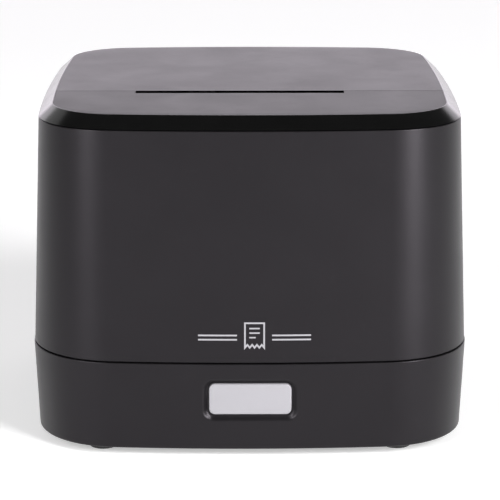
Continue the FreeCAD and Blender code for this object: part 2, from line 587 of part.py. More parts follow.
def make_front_deck():
    """The fixed front strip of the top, with the paper slot's ledge and clips down into the shell."""
    body = new_body("front_deck")
    case_loft(body, "deck", "rim_bottom", "rim_inset", "top_level", "top_inset")
    behind = sketch_on(body, "behind_deck", "XY_Plane", "top_level + over")
    rectangle(behind, "-half_width", "half_width", "seam_y - half_seam", "half_depth")
    pocket(body, behind, "top_level - rim_bottom + 2 * over")
    hollow = sketch_on(body, "deck_hollow", "XY_Plane", "rim_bottom")
    rectangle(hollow, "-half_width + deck_hollow_side", "half_width - deck_hollow_side",
              "-half_depth + deck_hollow_front", "tear_front - ledge_wall")
    pocket(body, hollow, "rim_wall", backwards=True)
    skin = sketch_on(body, "deck_panel_recess", "XY_Plane", "top_level")
    case_outline(skin, "top_inset + panel_rim")
    pocket(body, skin, "panel_depth")
    ledge = sketch_on(body, "tear_ledge", "XY_Plane", "top_level + over")
    rectangle(ledge, "slot_middle - slot_half - fit_gap", "slot_middle + slot_half + fit_gap",
              "tear_front - fit_gap", "seam_y")
    pocket(body, ledge, "top_level + over - tear_level")
    slot = sketch_on(body, "paper_slot", "XY_Plane", "top_level + over")
    rectangle(slot, "slot_middle - slot_half - fit_gap", "slot_middle + slot_half + fit_gap", "tear_root",
              "seam_y")
    pocket(body, slot, "top_level - rim_bottom + 2 * over")
    clips = sketch_on(body, "deck_clips", "XY_Plane", "rim_bottom + over")
    for middle in (-1, 0, 1):
        rectangle(clips, f"{middle} * half_width / 2 - clip_half", f"{middle} * half_width / 2 + clip_half",
                  "-clip_front", "-clip_back")
    pad(body, clips, "clip_length", backwards=True)


def make_deck_panel():
    """The matte panel let into the front deck."""
    body = new_body("deck_panel")
    outline = sketch_on(body, "deck_panel_outline", "XY_Plane", "top_level")
    case_outline(outline, "top_inset + panel_rim + fit_gap")
    pad(body, outline, "panel_depth", backwards=True)
    behind = sketch_on(body, "deck_panel_back", "XY_Plane", "top_level + over")
    rectangle(behind, "-half_width", "half_width", "seam_y - half_seam", "half_depth")
    pocket(body, behind, "panel_depth + 2 * over")
    slot = sketch_on(body, "deck_panel_slot", "XY_Plane", "top_level + over")
    rectangle(slot, "slot_middle - slot_half - fit_gap", "slot_middle + slot_half + fit_gap",
              "tear_front - fit_gap", "seam_y")
    pocket(body, slot, "panel_depth + 2 * over")


def make_tear_bar():
    """The serrated steel strip that the receipt is torn against."""
    pitch = number("tear_pitch")
    count = int(number("tear_teeth"))
    start = number("slot_middle") - pitch * count / 2
    level = number("tear_level")
    points = [Vector(start, number("tear_front"), level)]
    for tooth in range(count):
        points.append(Vector(start + tooth * pitch, number("tear_root"), level))
        points.append(Vector(start + (tooth + 0.5) * pitch, number("tear_tip"), level))
    points.append(Vector(start + count * pitch, number("tear_root"), level))
    points.append(Vector(start + count * pitch, number("tear_front"), level))
    toothed("tear_bar", flat_piece(points, Vector(0, 0, number("tear_thickness"))), (0, 0, 0))


def make_lid():
    """The opening rear part of the top, with two hinge knuckles at its rear edge."""
    body = new_body("lid")
    case_loft(body, "lid_rim", "rim_bottom", "rim_inset", "top_level", "top_inset")
    ahead = sketch_on(body, "ahead_of_lid", "XY_Plane", "top_level + over")
    rectangle(ahead, "-half_width", "half_width", "-half_depth", "seam_y + half_seam")
    pocket(body, ahead, "top_level - rim_bottom + 2 * over")
    skin = sketch_on(body, "lid_panel_recess", "XY_Plane", "top_level")
    case_outline(skin, "top_inset + panel_rim")
    pocket(body, skin, "panel_depth")
    hollow = sketch_on(body, "lid_hollow", "XY_Plane", "rim_bottom")
    rectangle(hollow, "-half_width + lid_hollow_inset", "half_width - lid_hollow_inset", "seam_y + wall",
              "half_depth - lid_hollow_inset")
    pocket(body, hollow, "rim_wall", backwards=True)
    for side, start in (("right", "knuckle_inner + knuckle_gap"), ("left", "-knuckle_outer + knuckle_gap")):
        width = "knuckle_outer - knuckle_inner - 2 * knuckle_gap"
        arm = sketch_on(body, f"{side}_lid_arm", "YZ_Plane", start)
        polygon(arm, [("hinge_y - knuckle_radius", "hinge_z"), ("hinge_y + knuckle_radius", "hinge_z"),
                      ("hinge_y + knuckle_radius", "hinge_z + arm_shoulder"),
                      ("hinge_y - arm_slope", "top_level - arm_drop"),
                      ("hinge_y - knuckle_radius", "top_level - arm_drop")])
        pad(body, arm, width)
        barrel = sketch_on(body, f"{side}_lid_barrel", "YZ_Plane", start)
        circle(barrel, "hinge_y", "hinge_z", "knuckle_radius")
        pad(body, barrel, width)
        hole = sketch_on(body, f"{side}_lid_hole", "YZ_Plane", start)
        circle(hole, "hinge_y", "hinge_z", "pin_hole")
        pocket(body, hole, width, backwards=True)


def make_lid_panel():
    """The matte panel let into the lid."""
    body = new_body("lid_panel")
    outline = sketch_on(body, "lid_panel_outline", "XY_Plane", "top_level")
    case_outline(outline, "top_inset + panel_rim + fit_gap")
    pad(body, outline, "panel_depth", backwards=True)
    ahead = sketch_on(body, "lid_panel_front", "XY_Plane", "top_level + over")
    rectangle(ahead, "-half_width", "half_width", "-half_depth", "seam_y + half_seam")
    pocket(body, ahead, "panel_depth + 2 * over")


def make_hinge_pins():
    """Two pins through the knuckles, as one group."""
    pins = []
    for start in ("hinge_start", "-hinge_end"):
        place = (start, "hinge_y", "hinge_z")
        pins.append(cylinder("hinge_pin", "pin_radius", "hinge_end - hinge_start", place, "x"))
    group = doc.addObject("Part::Compound", "hinge_pin_group")
    group.Links = pins
    keep(group, "hinge_pins")


def make_lid_liner():
    """The lid's inner frame: a plate, the two ears that carry the platen and the fixed blade's holder."""
    body = new_body("lid_liner")
    plate = sketch_on(body, "liner_plate", "XY_Plane", "rim_bottom")
    case_outline(plate, "liner_inset")
    pad(body, plate, "liner_thickness", backwards=True)
    ahead = sketch_on(body, "liner_front_edge", "XY_Plane", "rim_bottom + over")
    rectangle(ahead, "-half_width", "half_width", "-half_depth", "liner_front")
    pocket(body, ahead, "liner_thickness + 2 * over")
    ears = sketch_on(body, "liner_ears", "XY_Plane", "rim_bottom - liner_thickness / 2")
    for start in ("slot_middle - ear_inside - ear_thickness", "slot_middle + ear_inside"):
        rectangle(ears, start, f"{start} + ear_thickness", "ear_front", "ear_back")
    pad(body, ears, "rim_bottom - liner_thickness / 2 - ear_bottom", backwards=True)
    holder = sketch_on(body, "blade_holder", "XY_Plane", "rim_bottom - liner_thickness / 2")
    rectangle(holder, "slot_middle - slot_half", "slot_middle + slot_half", "liner_front", "holder_back")
    pad(body, holder, "rim_bottom - liner_thickness / 2 - holder_bottom", backwards=True)
    bushes = sketch_on(body, "bush_holes", "YZ_Plane", "slot_middle + ear_inside + ear_thickness + over")
    circle(bushes, "platen_y", "platen_z", "bush_radius + fit_gap")
    pocket(body, bushes, "2 * (ear_inside + ear_thickness + over)")


# Platen, print head and the train that feeds the paper

def make_platen():
    """The shaft, its rubber roller and the two bushes in the lid's ears."""
    core_start = "slot_middle - slot_half - shaft_left"
    core_end = "slot_middle + slot_half - shaft_left"
    shaft_length = "shaft_right - shaft_left"
    shaft = [("0", "0"), (shaft_length, "0"), (shaft_length, "shaft_radius"), (core_end, "shaft_radius"),
             (core_end, "core_radius"), (core_start, "core_radius"), (core_start, "shaft_radius"),
             ("0", "shaft_radius")]
    turned("platen_shaft", shaft, ("shaft_left", "platen_y", "platen_z"), "x")
    length = "2 * slot_half"
    roller = [("0", "core_radius + fit_gap / 2"), (length, "core_radius + fit_gap / 2"),
              (length, "roller_radius - roller_edge"), (f"{length} - roller_edge", "roller_radius"),
              ("roller_edge", "roller_radius"), ("0", "roller_radius - roller_edge")]
    turned("platen_roller", roller, ("slot_middle - slot_half", "platen_y", "platen_z"), "x")
    for side, sign in (("left", -1), ("right", 1)):
        neck = f"{sign} * ear_thickness"
        end = f"{sign} * (ear_thickness + bush_flange_thickness)"
        bush = [("0", "bush_hole"), (end, "bush_hole"), (end, "bush_flange"), (neck, "bush_flange"),
                (neck, "bush_radius"), ("0", "bush_radius")]
        start = f"slot_middle + {sign} * ear_inside"
        turned(f"platen_bush_{side}", bush, (start, "platen_y", "platen_z"), "x")


def make_feed_train():
    """Platen gear, idler and motor pinion, in mesh, with the stepper motor and the idler's stud."""
    module = number("feed_module")
    platen_teeth = number("platen_teeth")
    idler_teeth = number("idler_teeth")
    motor_teeth = number("motor_teeth")
    platen = (number("platen_y"), number("platen_z"))
    idler_angle = number("idler_angle")
    motor_angle = number("motor_angle")
    play = number("mesh_play")
    idler = polar(platen, module * (platen_teeth + idler_teeth) / 2 + play, idler_angle)
    motor = polar(idler, module * (idler_teeth + motor_teeth) / 2 + play, motor_angle)
    left = number("gear_left")
    width = number("gear_width")
    # A gap of the platen gear faces the idler, whose tooth lies in it; a gap of the idler would sit
    # half a pitch further on, and the pinion's gap takes the idler's nearest tooth
    idler_pitch = 360 / idler_teeth
    idler_gap = idler_angle + 180 + idler_pitch / 2
    steps = (motor_angle - idler_gap) / idler_pitch
    offset = (steps - math.floor(steps) - 0.5) * idler_pitch
    motor_gap = motor_angle + 180 + offset * idler_teeth / motor_teeth
    for label, teeth, bore, gap, place in (
            ("platen_gear", platen_teeth, "shaft_radius + bore_play", idler_angle, platen),
            ("idler_gear", idler_teeth, "idler_bore", idler_gap, idler),
            ("motor_pinion", motor_teeth, "motor_shaft + bore_play", motor_gap, motor)):
        toothed(label, gear_shape(module, teeth, width, number(bore), gap), (left, *place), "x")
    rod("idler_stud", "stud_radius", "frame_right", "gear_left + gear_width + stud_end", idler)
    rod("feed_motor_shaft", "motor_shaft", "frame_right - sheet - feed_shaft_depth",
        "gear_left + gear_width", motor)
    can = cylinder("feed_motor_can", "feed_motor_radius", "feed_motor_length",
                   ("frame_right - sheet - feed_motor_length", *motor), "x")
    bore = cylinder("feed_motor_bore", "motor_shaft + fit_gap", "feed_bore_depth",
                    ("frame_right - sheet - feed_bore_depth", *motor), "x")
    keep(cut("feed_motor_body", can, [bore]), "feed_motor")
    return motor


def make_mechanism_frame(motor):
    """The folded sheet frame: floor, front, two side plates and the bar behind the head spring."""
    floor = "base_top + tray_thickness"
    outer = box("frame_outer", "frame_left", "frame_right", "frame_front", "frame_back", floor, "frame_top")
    inner = box("frame_inner", "frame_left + sheet", "frame_right - sheet", "frame_front + sheet",
                "frame_back + over", f"{floor} + sheet", "frame_top + over")
    step = box("frame_step_box", "frame_left - over", "frame_right + over", "frame_step",
               "frame_back + over", "frame_step_top", "frame_top + over")
    window = box("frame_window", "frame_left + window_side", "frame_right - window_side",
                 "frame_front - over", "frame_front + sheet + over", "window_bottom", "window_top")
    across = "frame_right - frame_left + 2 * over"
    bores = []
    for name, radius, y, z in (("shaft_seat", "shaft_radius + notch_play", "platen_y", "platen_z"),
                               ("latch_hole", "latch_pin + fit_gap", "latch_y", "latch_z"),
                               ("head_pin_hole", "head_pin_radius", "head_pin_y", "head_pin_z")):
        bores.append(cylinder(name, radius, across, ("frame_left - over", y, z), "x"))
    mouth = box("shaft_mouth", "frame_left - over", "frame_right + over",
                "platen_y - shaft_radius - notch_flare", "platen_y + shaft_radius + notch_play", "platen_z",
                "frame_top + over")
    shaft_hole = cylinder("motor_shaft_hole", "motor_shaft + frame_shaft_play", "sheet + 2 * over",
                          ("frame_right - sheet - over", *motor), "x")
    ribbon_slot = box("frame_ribbon_slot", "ribbon_left - ribbon_side_gap",
                      "ribbon_left + ribbon_width + ribbon_side_gap", "ribbon_y - ribbon_slot",
                      "ribbon_y + ribbon_slot", "base_top", "base_top + ribbon_slot_rise")
    folded = cut("frame_folded", outer, [inner, step, window, mouth, shaft_hole, ribbon_slot, *bores])
    bar = box("frame_bar", "frame_left + sheet / 2", "frame_right - sheet / 2", "cross_bar",
              "cross_bar + sheet", "bar_bottom", "bar_top")
    keep(fuse("frame_fused", [folded, bar]), "mechanism_frame")


def make_print_head():
    """The heat sink that pivots on its pin, the ceramic strip on its face and the leaf spring behind."""
    left = "slot_middle - head_half"
    right = "slot_middle + head_half"
    strip_back = "head_face - strip_thickness"
    sink_back = "head_face - strip_thickness - head_thickness"
    sink = box("sink_block", left, right, sink_back, strip_back, "head_bottom", "head_top")
    hole = cylinder("sink_hole", "head_pin_radius + fit_gap", "2 * head_half + 2 * over",
                    (f"{left} - over", "head_pin_y", "head_pin_z"), "x")
    grooves = []
    for index in range(int(number("grooves"))):
        bottom = f"groove_bottom + {index} * groove_pitch"
        grooves.append(box("sink_groove", f"{left} - over", f"{right} + over", f"{sink_back} - over",
                           f"{sink_back} + groove_depth", bottom, f"{bottom} + groove_width"))
    keep(cut("sink_cut", sink, [hole, *grooves]), "heat_sink")
    keep(box("head_strip", left, right, strip_back, "head_face", "strip_bottom", "head_top"), "print_head")
    rod("head_pin", "head_pin_radius", "frame_left", "frame_right", ("head_pin_y", "head_pin_z"))
    make_head_spring(sink_back)


def make_head_spring(sink_back):
    """The leaf spring: a foot on the heat sink, a slanted middle made in code, and the standing leaf."""
    foot = box("spring_foot", "slot_middle - spring_foot_half", "slot_middle + spring_foot_half",
               f"{sink_back} - spring_sheet", sink_back, "spring_foot_bottom", "spring_foot_top")
    leaf = box("spring_leaf", "slot_middle - spring_half", "slot_middle + spring_half",
               f"{sink_back} - spring_reach - spring_sheet", f"{sink_back} - spring_reach", "leaf_bottom",
               "leaf_top")
    near = number(sink_back)
    side = number("slot_middle - spring_half")
    thickness = number("spring_sheet")
    reach = number("spring_reach")
    low = number("spring_foot_top - spring_lap")
    high = number("leaf_bottom + spring_lap")
    points = [Vector(side, near - thickness, low), Vector(side, near, low),
              Vector(side, near - reach, high), Vector(side, near - reach - thickness, high)]
    ramp = doc.addObject("Part::Feature", "spring_ramp")
    ramp.Shape = flat_piece(points, Vector(number("2 * spring_half"), 0, 0))
    keep(fuse("spring_fused", [foot, ramp, leaf]), "head_spring")


def make_ribbon():
    """The flat ribbon from the head down to the main board: straight runs and one tangent bend."""
    upright = box("ribbon_upright", "ribbon_left", "ribbon_left + ribbon_width", "ribbon_y",
                  "ribbon_y + ribbon_thickness", "ribbon_level + ribbon_bend", "ribbon_top")
    flat = box("ribbon_flat", "ribbon_left", "ribbon_left + ribbon_width", "ribbon_y + ribbon_bend",
               "ribbon_end", "ribbon_level", "ribbon_level + ribbon_thickness")
    centre = ("ribbon_left", "ribbon_y + ribbon_bend", "ribbon_level + ribbon_bend")
    outer = cylinder("ribbon_outer", "ribbon_bend", "ribbon_width", centre, "x")
    inner = cylinder("ribbon_inner", "ribbon_bend - ribbon_thickness", "ribbon_width", centre, "x")
    tube = cut("ribbon_tube", outer, [inner])
    quarter = box("ribbon_quarter", "ribbon_left", "ribbon_left + ribbon_width", "ribbon_y",
                  "ribbon_y + ribbon_bend", "ribbon_level", "ribbon_level + ribbon_bend")
    bend = doc.addObject("Part::Common", "ribbon_bend_piece")
    bend.Base = tube
    bend.Tool = quarter
    keep(fuse("ribbon_fused", [upright, bend, flat]), "head_ribbon")


# Cutter

def make_cutter():
    """The cutter plate, its sliding blade with a rack, the gears above it, the motor and the fixed blade."""
    centre = (number("cutter_x"), number("cutter_y"))
    rack_module = number("rack_module")
    pinion_teeth = number("pinion_teeth")
    fine = number("cutter_module")
    gear_teeth = number("cutter_teeth")
    small_teeth = number("cutter_pinion_teeth")
    play = number("mesh_play")
    motor = polar(centre, fine * (gear_teeth + small_teeth) / 2 + play, 0)
    level = number("cutter_gear_level")
    rack_level = number("blade_bottom + blade_thickness")
    # The rack's gap faces the pinion's tooth, so the pinion's first gap is half a tooth from there
    lift = number("gear_lift")
    small = gear_shape(rack_module, pinion_teeth, level - rack_level - lift, number("post_bore"),
                       180 + 180 / pinion_teeth)
    small.translate(Vector(0, 0, rack_level + lift - level))
    large = gear_shape(fine, gear_teeth, number("cutter_gear_width"), number("post_bore"), 0)
    toothed("cutter_gear", large.fuse(small).removeSplitter(), (*centre, level))
    pinion = gear_shape(fine, small_teeth, number("cutter_gear_width"),
                        number("cutter_shaft + cutter_bore_play"), 180 + 180 / small_teeth)
    toothed("cutter_pinion", pinion, (*motor, level))
    rod("cutter_stud", "post_radius", "plate_top - plate_thickness", "post_top", centre, "z")
    make_cutter_motor(motor)
    plate = box("cutter_plate_box", "frame_left", "frame_right", "frame_front", "plate_back",
                "plate_top - plate_thickness", "plate_top")
    holes = [cylinder("cutter_plate_hole", "post_radius", "plate_thickness + 2 * over",
                      (*place, "plate_top - plate_thickness - over")) for place in (centre, motor)]
    keep(cut("cutter_plate_cut", plate, holes), "cutter_plate")
    make_moving_blade(centre, motor, rack_level)
    keep(box("fixed_blade_box", "slot_middle - fixed_blade_half", "slot_middle + fixed_blade_half",
             "fixed_blade_edge", "holder_back", "fixed_blade_bottom", "holder_bottom"), "fixed_blade")


def make_cutter_motor(motor):
    """The cutter's small motor under its plate, and the shaft that carries the pinion."""
    under = "plate_top - plate_thickness"
    rod("cutter_motor_shaft", "cutter_shaft", f"{under} - cutter_shaft_depth",
        "cutter_gear_level + cutter_gear_width", motor, "z")
    can = cylinder("cutter_can", "cutter_motor_radius", "cutter_motor_length",
                   (*motor, f"{under} - cutter_motor_length"))
    bore = cylinder("cutter_can_bore", "cutter_shaft + can_play", "cutter_bore_depth",
                    (*motor, f"{under} - cutter_bore_depth"))
    keep(cut("cutter_motor_body", can, [bore]), "cutter_motor")


def make_moving_blade(centre, motor, rack_level):
    """The sliding blade: a shallow V edge, two slots for the posts and a rack that the pinion drives."""
    module = number("rack_module")
    pitch = math.pi * module
    slope = math.tan(PRESSURE)
    line = centre[0] - module * number("pinion_teeth") / 2 - number("mesh_play")
    tip = line + RACK_TIP * module
    root = line - RACK_ROOT * module
    back = root - number("rack_width") / 2
    count = int(number("rack_teeth"))
    half_root = pitch / 4 + slope * (line - root)
    half_tip = pitch / 4 - slope * (tip - line)
    # A gap of the rack faces the pinion's tooth, so whole pitches lie on each side of the pinion's middle
    start = centre[1] - pitch * number("teeth_ahead")
    points = [Vector(back, start, 0)]
    for tooth in range(count):
        middle = start + (tooth + 0.5) * pitch
        points += [Vector(root, middle - half_root, 0), Vector(tip, middle - half_tip, 0),
                   Vector(tip, middle + half_tip, 0), Vector(root, middle + half_root, 0)]
    points.append(Vector(back, start + count * pitch, 0))
    rack = doc.addObject("Part::Feature", "blade_rack")
    rack.Shape = flat_piece(points, Vector(0, 0, number("rack_height")))
    rack.Placement.Base = Vector(0, 0, rack_level)
    half = number("blade_half")
    middle = number("slot_middle")
    edge = number("blade_edge")
    front = number("blade_front")
    corners = [Vector(middle - half, front, 0), Vector(middle + half, front, 0),
               Vector(middle + half, edge, 0), Vector(middle, edge - number("blade_vee"), 0),
               Vector(middle - half, edge, 0)]
    sheet_steel = doc.addObject("Part::Feature", "blade_sheet")
    sheet_steel.Shape = flat_piece(corners, Vector(0, 0, number("blade_thickness")))
    sheet_steel.Placement.Base = Vector(0, 0, number("blade_bottom"))
    slots = []
    for name, place in (("stud", centre), ("motor", motor)):
        slots.append(box(f"{name}_slot", f"{place[0]} - post_slot", f"{place[0]} + post_slot",
                         f"{place[1]} - blade_travel - post_slot", f"{place[1]} + post_slot",
                         "blade_bottom - over", "blade_bottom + blade_thickness + over"))
    keep(fuse("moving_blade_fused", [cut("blade_slotted", sheet_steel, slots), rack]), "moving_blade")


# Lid lock

def make_latch():
    """Two levers that hook over the platen shaft, on one shaft, the right one with the release tab."""
    outline = [("latch_y - latch_eye", "latch_z - latch_eye"),
               ("latch_y + latch_eye", "latch_z - latch_eye"),
               ("arm_back", "latch_z + latch_eye"), ("arm_back", "nose_top"),
               ("nose_tip + nose_bevel", "nose_top"), ("nose_tip", "nose_bottom"),
               ("arm_front", "nose_bottom"), ("arm_front", "latch_z + latch_eye")]
    for side, start in (("left", "latch_left_x"), ("right", "latch_right_x")):
        body = new_body(f"latch_{side}")
        lever = sketch_on(body, f"latch_{side}_outline", "YZ_Plane", start)
        polygon(lever, outline)
        pad(body, lever, "latch_thickness")
        if side == "right":
            arm = sketch_on(body, "release_arm", "YZ_Plane", start)
            rectangle(arm, "arm_back - tab_root", "tab_back", "tab_bottom", "tab_top")
            pad(body, arm, "latch_thickness")
            tab = sketch_on(body, "release_tab", "YZ_Plane", start)
            rectangle(tab, "tab_back - tab_thickness", "tab_back", "tab_bottom", "tab_top")
            pad(body, tab, "tab_end - latch_right_x")
        eye = sketch_on(body, f"latch_{side}_eye", "YZ_Plane", start)
        circle(eye, "latch_y", "latch_z", "latch_pin + fit_gap / 2")
        pocket(body, eye, "latch_thickness", backwards=True)
    rod("latch_shaft", "latch_pin", "latch_left_x", "latch_right_x + latch_thickness",
        ("latch_y", "latch_z"))


def make_release_button():
    """The button in the right-hand wall, its flange inside and the wedge that turns the latch."""
    body = new_body("release_button")
    cap = sketch_on(body, "release_cap", "YZ_Plane", "release_face")
    rounded_rectangle(cap, "release_y - release_half", "release_y + release_half",
                      "release_z - release_rise", "release_z + release_rise",
                      "release_rise - release_gap")
    pad(body, cap, "release_face - release_flange + release_thickness", backwards=True)
    flange = sketch_on(body, "release_flange", "YZ_Plane", "release_flange")
    rectangle(flange, "release_y - release_half - release_border",
              "release_y + release_half + release_border", "release_z - release_rise - release_border",
              "release_z + release_rise + release_border")
    pad(body, flange, "release_thickness", backwards=True)
    stem = sketch_on(body, "release_stem", "XY_Plane", "stem_level")
    slope_start = "wedge_back + wedge_slope * (wedge_start - tab_end)"
    slope_end = "wedge_back + wedge_slope * (wedge_end - tab_end)"
    polygon(stem, [("wedge_start", f"{slope_start} - stem_thickness"),
                   ("release_flange - stem_root", f"{slope_start} - stem_thickness"),
                   ("release_flange - stem_root", slope_end), ("wedge_end", slope_end),
                   ("wedge_start", slope_start)])
    pad(body, stem, "stem_height")


# Feed button and its board

def make_feed_button():
    """The translucent front button with its stem, the small board behind it, the switch and its light."""
    body = new_body("feed_button")
    face = sketch_on(body, "button_cap", "XZ_Plane", "button_face")
    rounded_rectangle(face, "-button_half", "button_half", "button_bottom", "button_top", "button_corner")
    pad(body, face, "button_depth", backwards=True)
    flange = sketch_on(body, "button_flange", "XZ_Plane", "button_face - button_depth")
    rectangle(flange, "-button_half - button_flange", "button_half + button_flange",
              "button_bottom - button_flange", "button_top + button_flange")
    pad(body, flange, "button_flange_thickness", backwards=True)
    middle = "(button_bottom + button_top) / 2"
    stem_start = "button_face - button_depth - button_flange_thickness"
    stem = sketch_on(body, "button_plunger", "XZ_Plane", stem_start)
    circle(stem, "0", middle, "button_stem / 2")
    pad(body, stem, "button_stem", backwards=True)
    front = f"button_stem + switch_play + feed_switch_depth - ({stem_start})"
    keep(box("button_board_box", "-button_board_half", "button_board_half", front,
             f"{front} + board_thickness", "foot_height + base_floor", "button_board_top"), "button_board")
    keep(box("feed_switch_box", "-feed_switch_half", "feed_switch_half", f"{front} - feed_switch_depth",
             front, f"{middle} - feed_switch_half", f"{middle} + feed_switch_half"), "feed_switch")
    lights = []
    for x in ("-light_x", "light_x"):
        lights.append(box("light", f"{x} - light_half", f"{x} + light_half", f"{front} - light_depth",
                          front, f"{middle} - light_rise", f"{middle} + light_rise"))
    group = doc.addObject("Part::Compound", "light_group")
    group.Links = lights
    keep(group, "status_lights")


# Paper bin, board and sockets

def make_roll_bin():
    """The inner floor and the drop-in trough for the roll, one moulding."""
    body = new_body("roll_bin")
    tray = sketch_on(body, "tray_outline", "XY_Plane", "base_top")
    case_outline(tray, "tray_inset")
    pad(body, tray, "tray_thickness")
    corners = sketch_on(body, "tray_corners", "XY_Plane", "base_top + tray_thickness")
    for side_x in (-1, 1):
        for side_y in (-1, 1):
            circle(corners, f"{side_x} * boss_x", f"{side_y} * boss_y", "tray_boss_gap")
    pocket(body, corners, "tray_thickness")
    trough = sketch_on(body, "trough", "YZ_Plane", "slot_middle - bin_half - bin_wall")
    trough_outline(trough, "bin_radius + bin_wall")
    pad(body, trough, "2 * (bin_half + bin_wall)")
    inside = sketch_on(body, "trough_inside", "YZ_Plane", "slot_middle - bin_half")
    trough_outline(inside, "bin_radius")
    pocket(body, inside, "2 * bin_half", backwards=True)
    passage = sketch_on(body, "ribbon_passage", "XY_Plane", "base_top + tray_thickness")
    rectangle(passage, "ribbon_left - ribbon_side_gap", "ribbon_left + ribbon_width + ribbon_side_gap",
              "ribbon_y - ribbon_slot", "ribbon_y + ribbon_slot")
    pocket(body, passage, "tray_thickness")


def trough_outline(sketch, radius):
    """A half circle below the roll's axis, carried straight up to the bin's top."""
    reach = number(radius)
    y, z, top = (number(size) for size in ("bin_y", "bin_z", "bin_top"))
    bottom = arc(sketch, (y, z), reach, math.pi, 2 * math.pi)
    lines = [((y + reach, z), (y + reach, top)), ((y + reach, top), (y - reach, top)),
             ((y - reach, top), (y - reach, z))]
    right, lid_line, left = (sketch.addGeometry(Part.LineSegment(Vector(*start, 0), Vector(*end, 0)), False)
                             for start, end in lines)
    sketch.addConstraint(Sketcher.Constraint("Tangent", bottom, 2, right, 1))
    sketch.addConstraint(Sketcher.Constraint("Coincident", right, 2, lid_line, 1))
    sketch.addConstraint(Sketcher.Constraint("Coincident", lid_line, 2, left, 1))
    sketch.addConstraint(Sketcher.Constraint("Tangent", left, 2, bottom, 1))
    sketch.addConstraint(Sketcher.Constraint("Horizontal", lid_line))
    sketch.addConstraint(Sketcher.Constraint("Vertical", right))
    sketch.addConstraint(Sketcher.Constraint("Vertical", left))
    dimension(sketch, "Radius", (bottom,), radius)
    dimension(sketch, "DistanceX", (-1, 1, bottom, 3), "bin_y")
    dimension(sketch, "DistanceY", (-1, 1, bottom, 3), "bin_z")
    dimension(sketch, "DistanceY", (-1, 1, lid_line, 1), "bin_top")


def make_board():
    """The main board on its posts, with its screws, its larger parts and the ribbon's connector."""
    surface = "board_level + board_thickness"
    under = "foot_height + base_floor + screw_end_gap"
    board = box("board_sheet", "-board_half", "board_half", "board_front", "board_back", "board_level",
                surface)
    holes = []
    screws = []
    for side in (-1, 1):
        for post_y in ("post_front", "post_back"):
            place = (f"{side} * post_x", post_y)
            holes.append(cylinder("board_hole", "board_screw_radius + board_hole_play",
                                  "board_thickness + 2 * over", (*place, "board_level - over")))
            head = cylinder("board_screw_head", "head_radius", "board_head_height", (*place, surface))
            shank = cylinder("board_screw_shank", "board_screw_radius", f"{surface} - ({under})",
                             (*place, under))
            screws.append(fuse("board_screw", [head, shank]))
    keep(cut("board_drilled", board, holes), "main_board")
    group = doc.addObject("Part::Compound", "board_screw_group")
    group.Links = screws
    keep(group, "board_screws")
    chip = box("processor", "-processor_half", "processor_half", "processor_front",
               "processor_front + 2 * processor_half", surface, f"{surface} + processor_height")
    driver = box("driver", "driver_left", "driver_right", "driver_front", "driver_back", surface,
                 f"{surface} + driver_height")
    connector = box("ribbon_connector", "ribbon_left - connector_border",
                    "ribbon_left + ribbon_width + connector_border", "ribbon_end",
                    "ribbon_end + connector_depth", surface, f"{surface} + connector_height")
    capacitors = [cylinder("capacitor", "capacitor_radius", "capacitor_height", (*place, surface))
                  for place in CAPACITORS]
    parts = doc.addObject("Part::Compound", "board_part_group")
    parts.Links = [chip, driver, connector, *capacitors]
    keep(parts, "board_parts")


def socket(prefix):
    """A square socket on the board, flush with the port plate, with one cavity open to the rear."""
    surface = "board_level + board_thickness"
    middle = f"{prefix}_middle"
    shell = box(f"{prefix}_shell", f"{middle} - {prefix}_width / 2", f"{middle} + {prefix}_width / 2",
                "socket_front", "socket_back", surface, f"{surface} + {prefix}_height")
    cavity = box(f"{prefix}_cavity", f"{middle} - {prefix}_cavity_width / 2",
                 f"{middle} + {prefix}_cavity_width / 2", "cavity_front", "port_face + over",
                 f"{surface} + {prefix}_lift", f"{surface} + {prefix}_lift + {prefix}_cavity_height")
    return cut(f"{prefix}_cut", shell, [cavity])


def make_sockets():
    """The network, cash drawer and USB sockets and the power inlet."""
    surface = "board_level + board_thickness"
    keep(socket("lan"), "lan_socket")
    keep(socket("drawer"), "drawer_socket")
    tongue = box("usb_tongue", "usb_middle - tongue_half", "usb_middle + tongue_half", "tongue_front",
                 "tongue_back", "tongue_bottom", "tongue_top")
    keep(fuse("usb_fused", [socket("usb"), tongue]), "usb_socket")
    block = box("inlet_block", "inlet_middle - inlet_width / 2", "inlet_middle + inlet_width / 2",
                "socket_front", "socket_back", surface, f"{surface} + inlet_height")
    axis = f"{surface} + inlet_axis"
    hole = cylinder("inlet_bore", "inlet_hole", "inlet_depth + 2 * over",
                    ("inlet_middle", "port_face - inlet_depth", axis), "y")
    pins = [cylinder("inlet_contact", "inlet_pin", "inlet_pin_length",
                     (f"inlet_middle + {aside}", "port_face - inlet_depth - inlet_pin_start",
                      f"{axis} + {up}"), "y") for aside, up in INLET_PINS]
    keep(fuse("inlet_fused", [cut("inlet_cut", block, [hole]), *pins]), "power_inlet")


def make_port_plate():
    """The steel plate in the rear window, cut out round the sockets and the switch."""
    surface = "board_level + board_thickness"
    plate = box("port_sheet", "-port_half + port_gap", "port_half - port_gap", "port_face - port_plate",
                "port_face", "port_bottom + port_gap", "port_top - port_gap")
    cuts = [box("switch_cutout", "switch_left - port_gap", "switch_right + port_gap",
                "port_face - port_plate - over", "port_face + over", "switch_bottom - port_gap",
                "switch_top + port_gap")]
    for prefix in ("lan", "drawer", "usb", "inlet"):
        cuts.append(box(f"{prefix}_cutout", f"{prefix}_middle - {prefix}_width / 2 - port_gap",
                        f"{prefix}_middle + {prefix}_width / 2 + port_gap", "port_face - port_plate - over",
                        "port_face + over", f"{surface} - port_gap",
                        f"{surface} + {prefix}_height + port_gap"))
    keep(cut("port_plate_cut", plate, cuts), "port_plate")


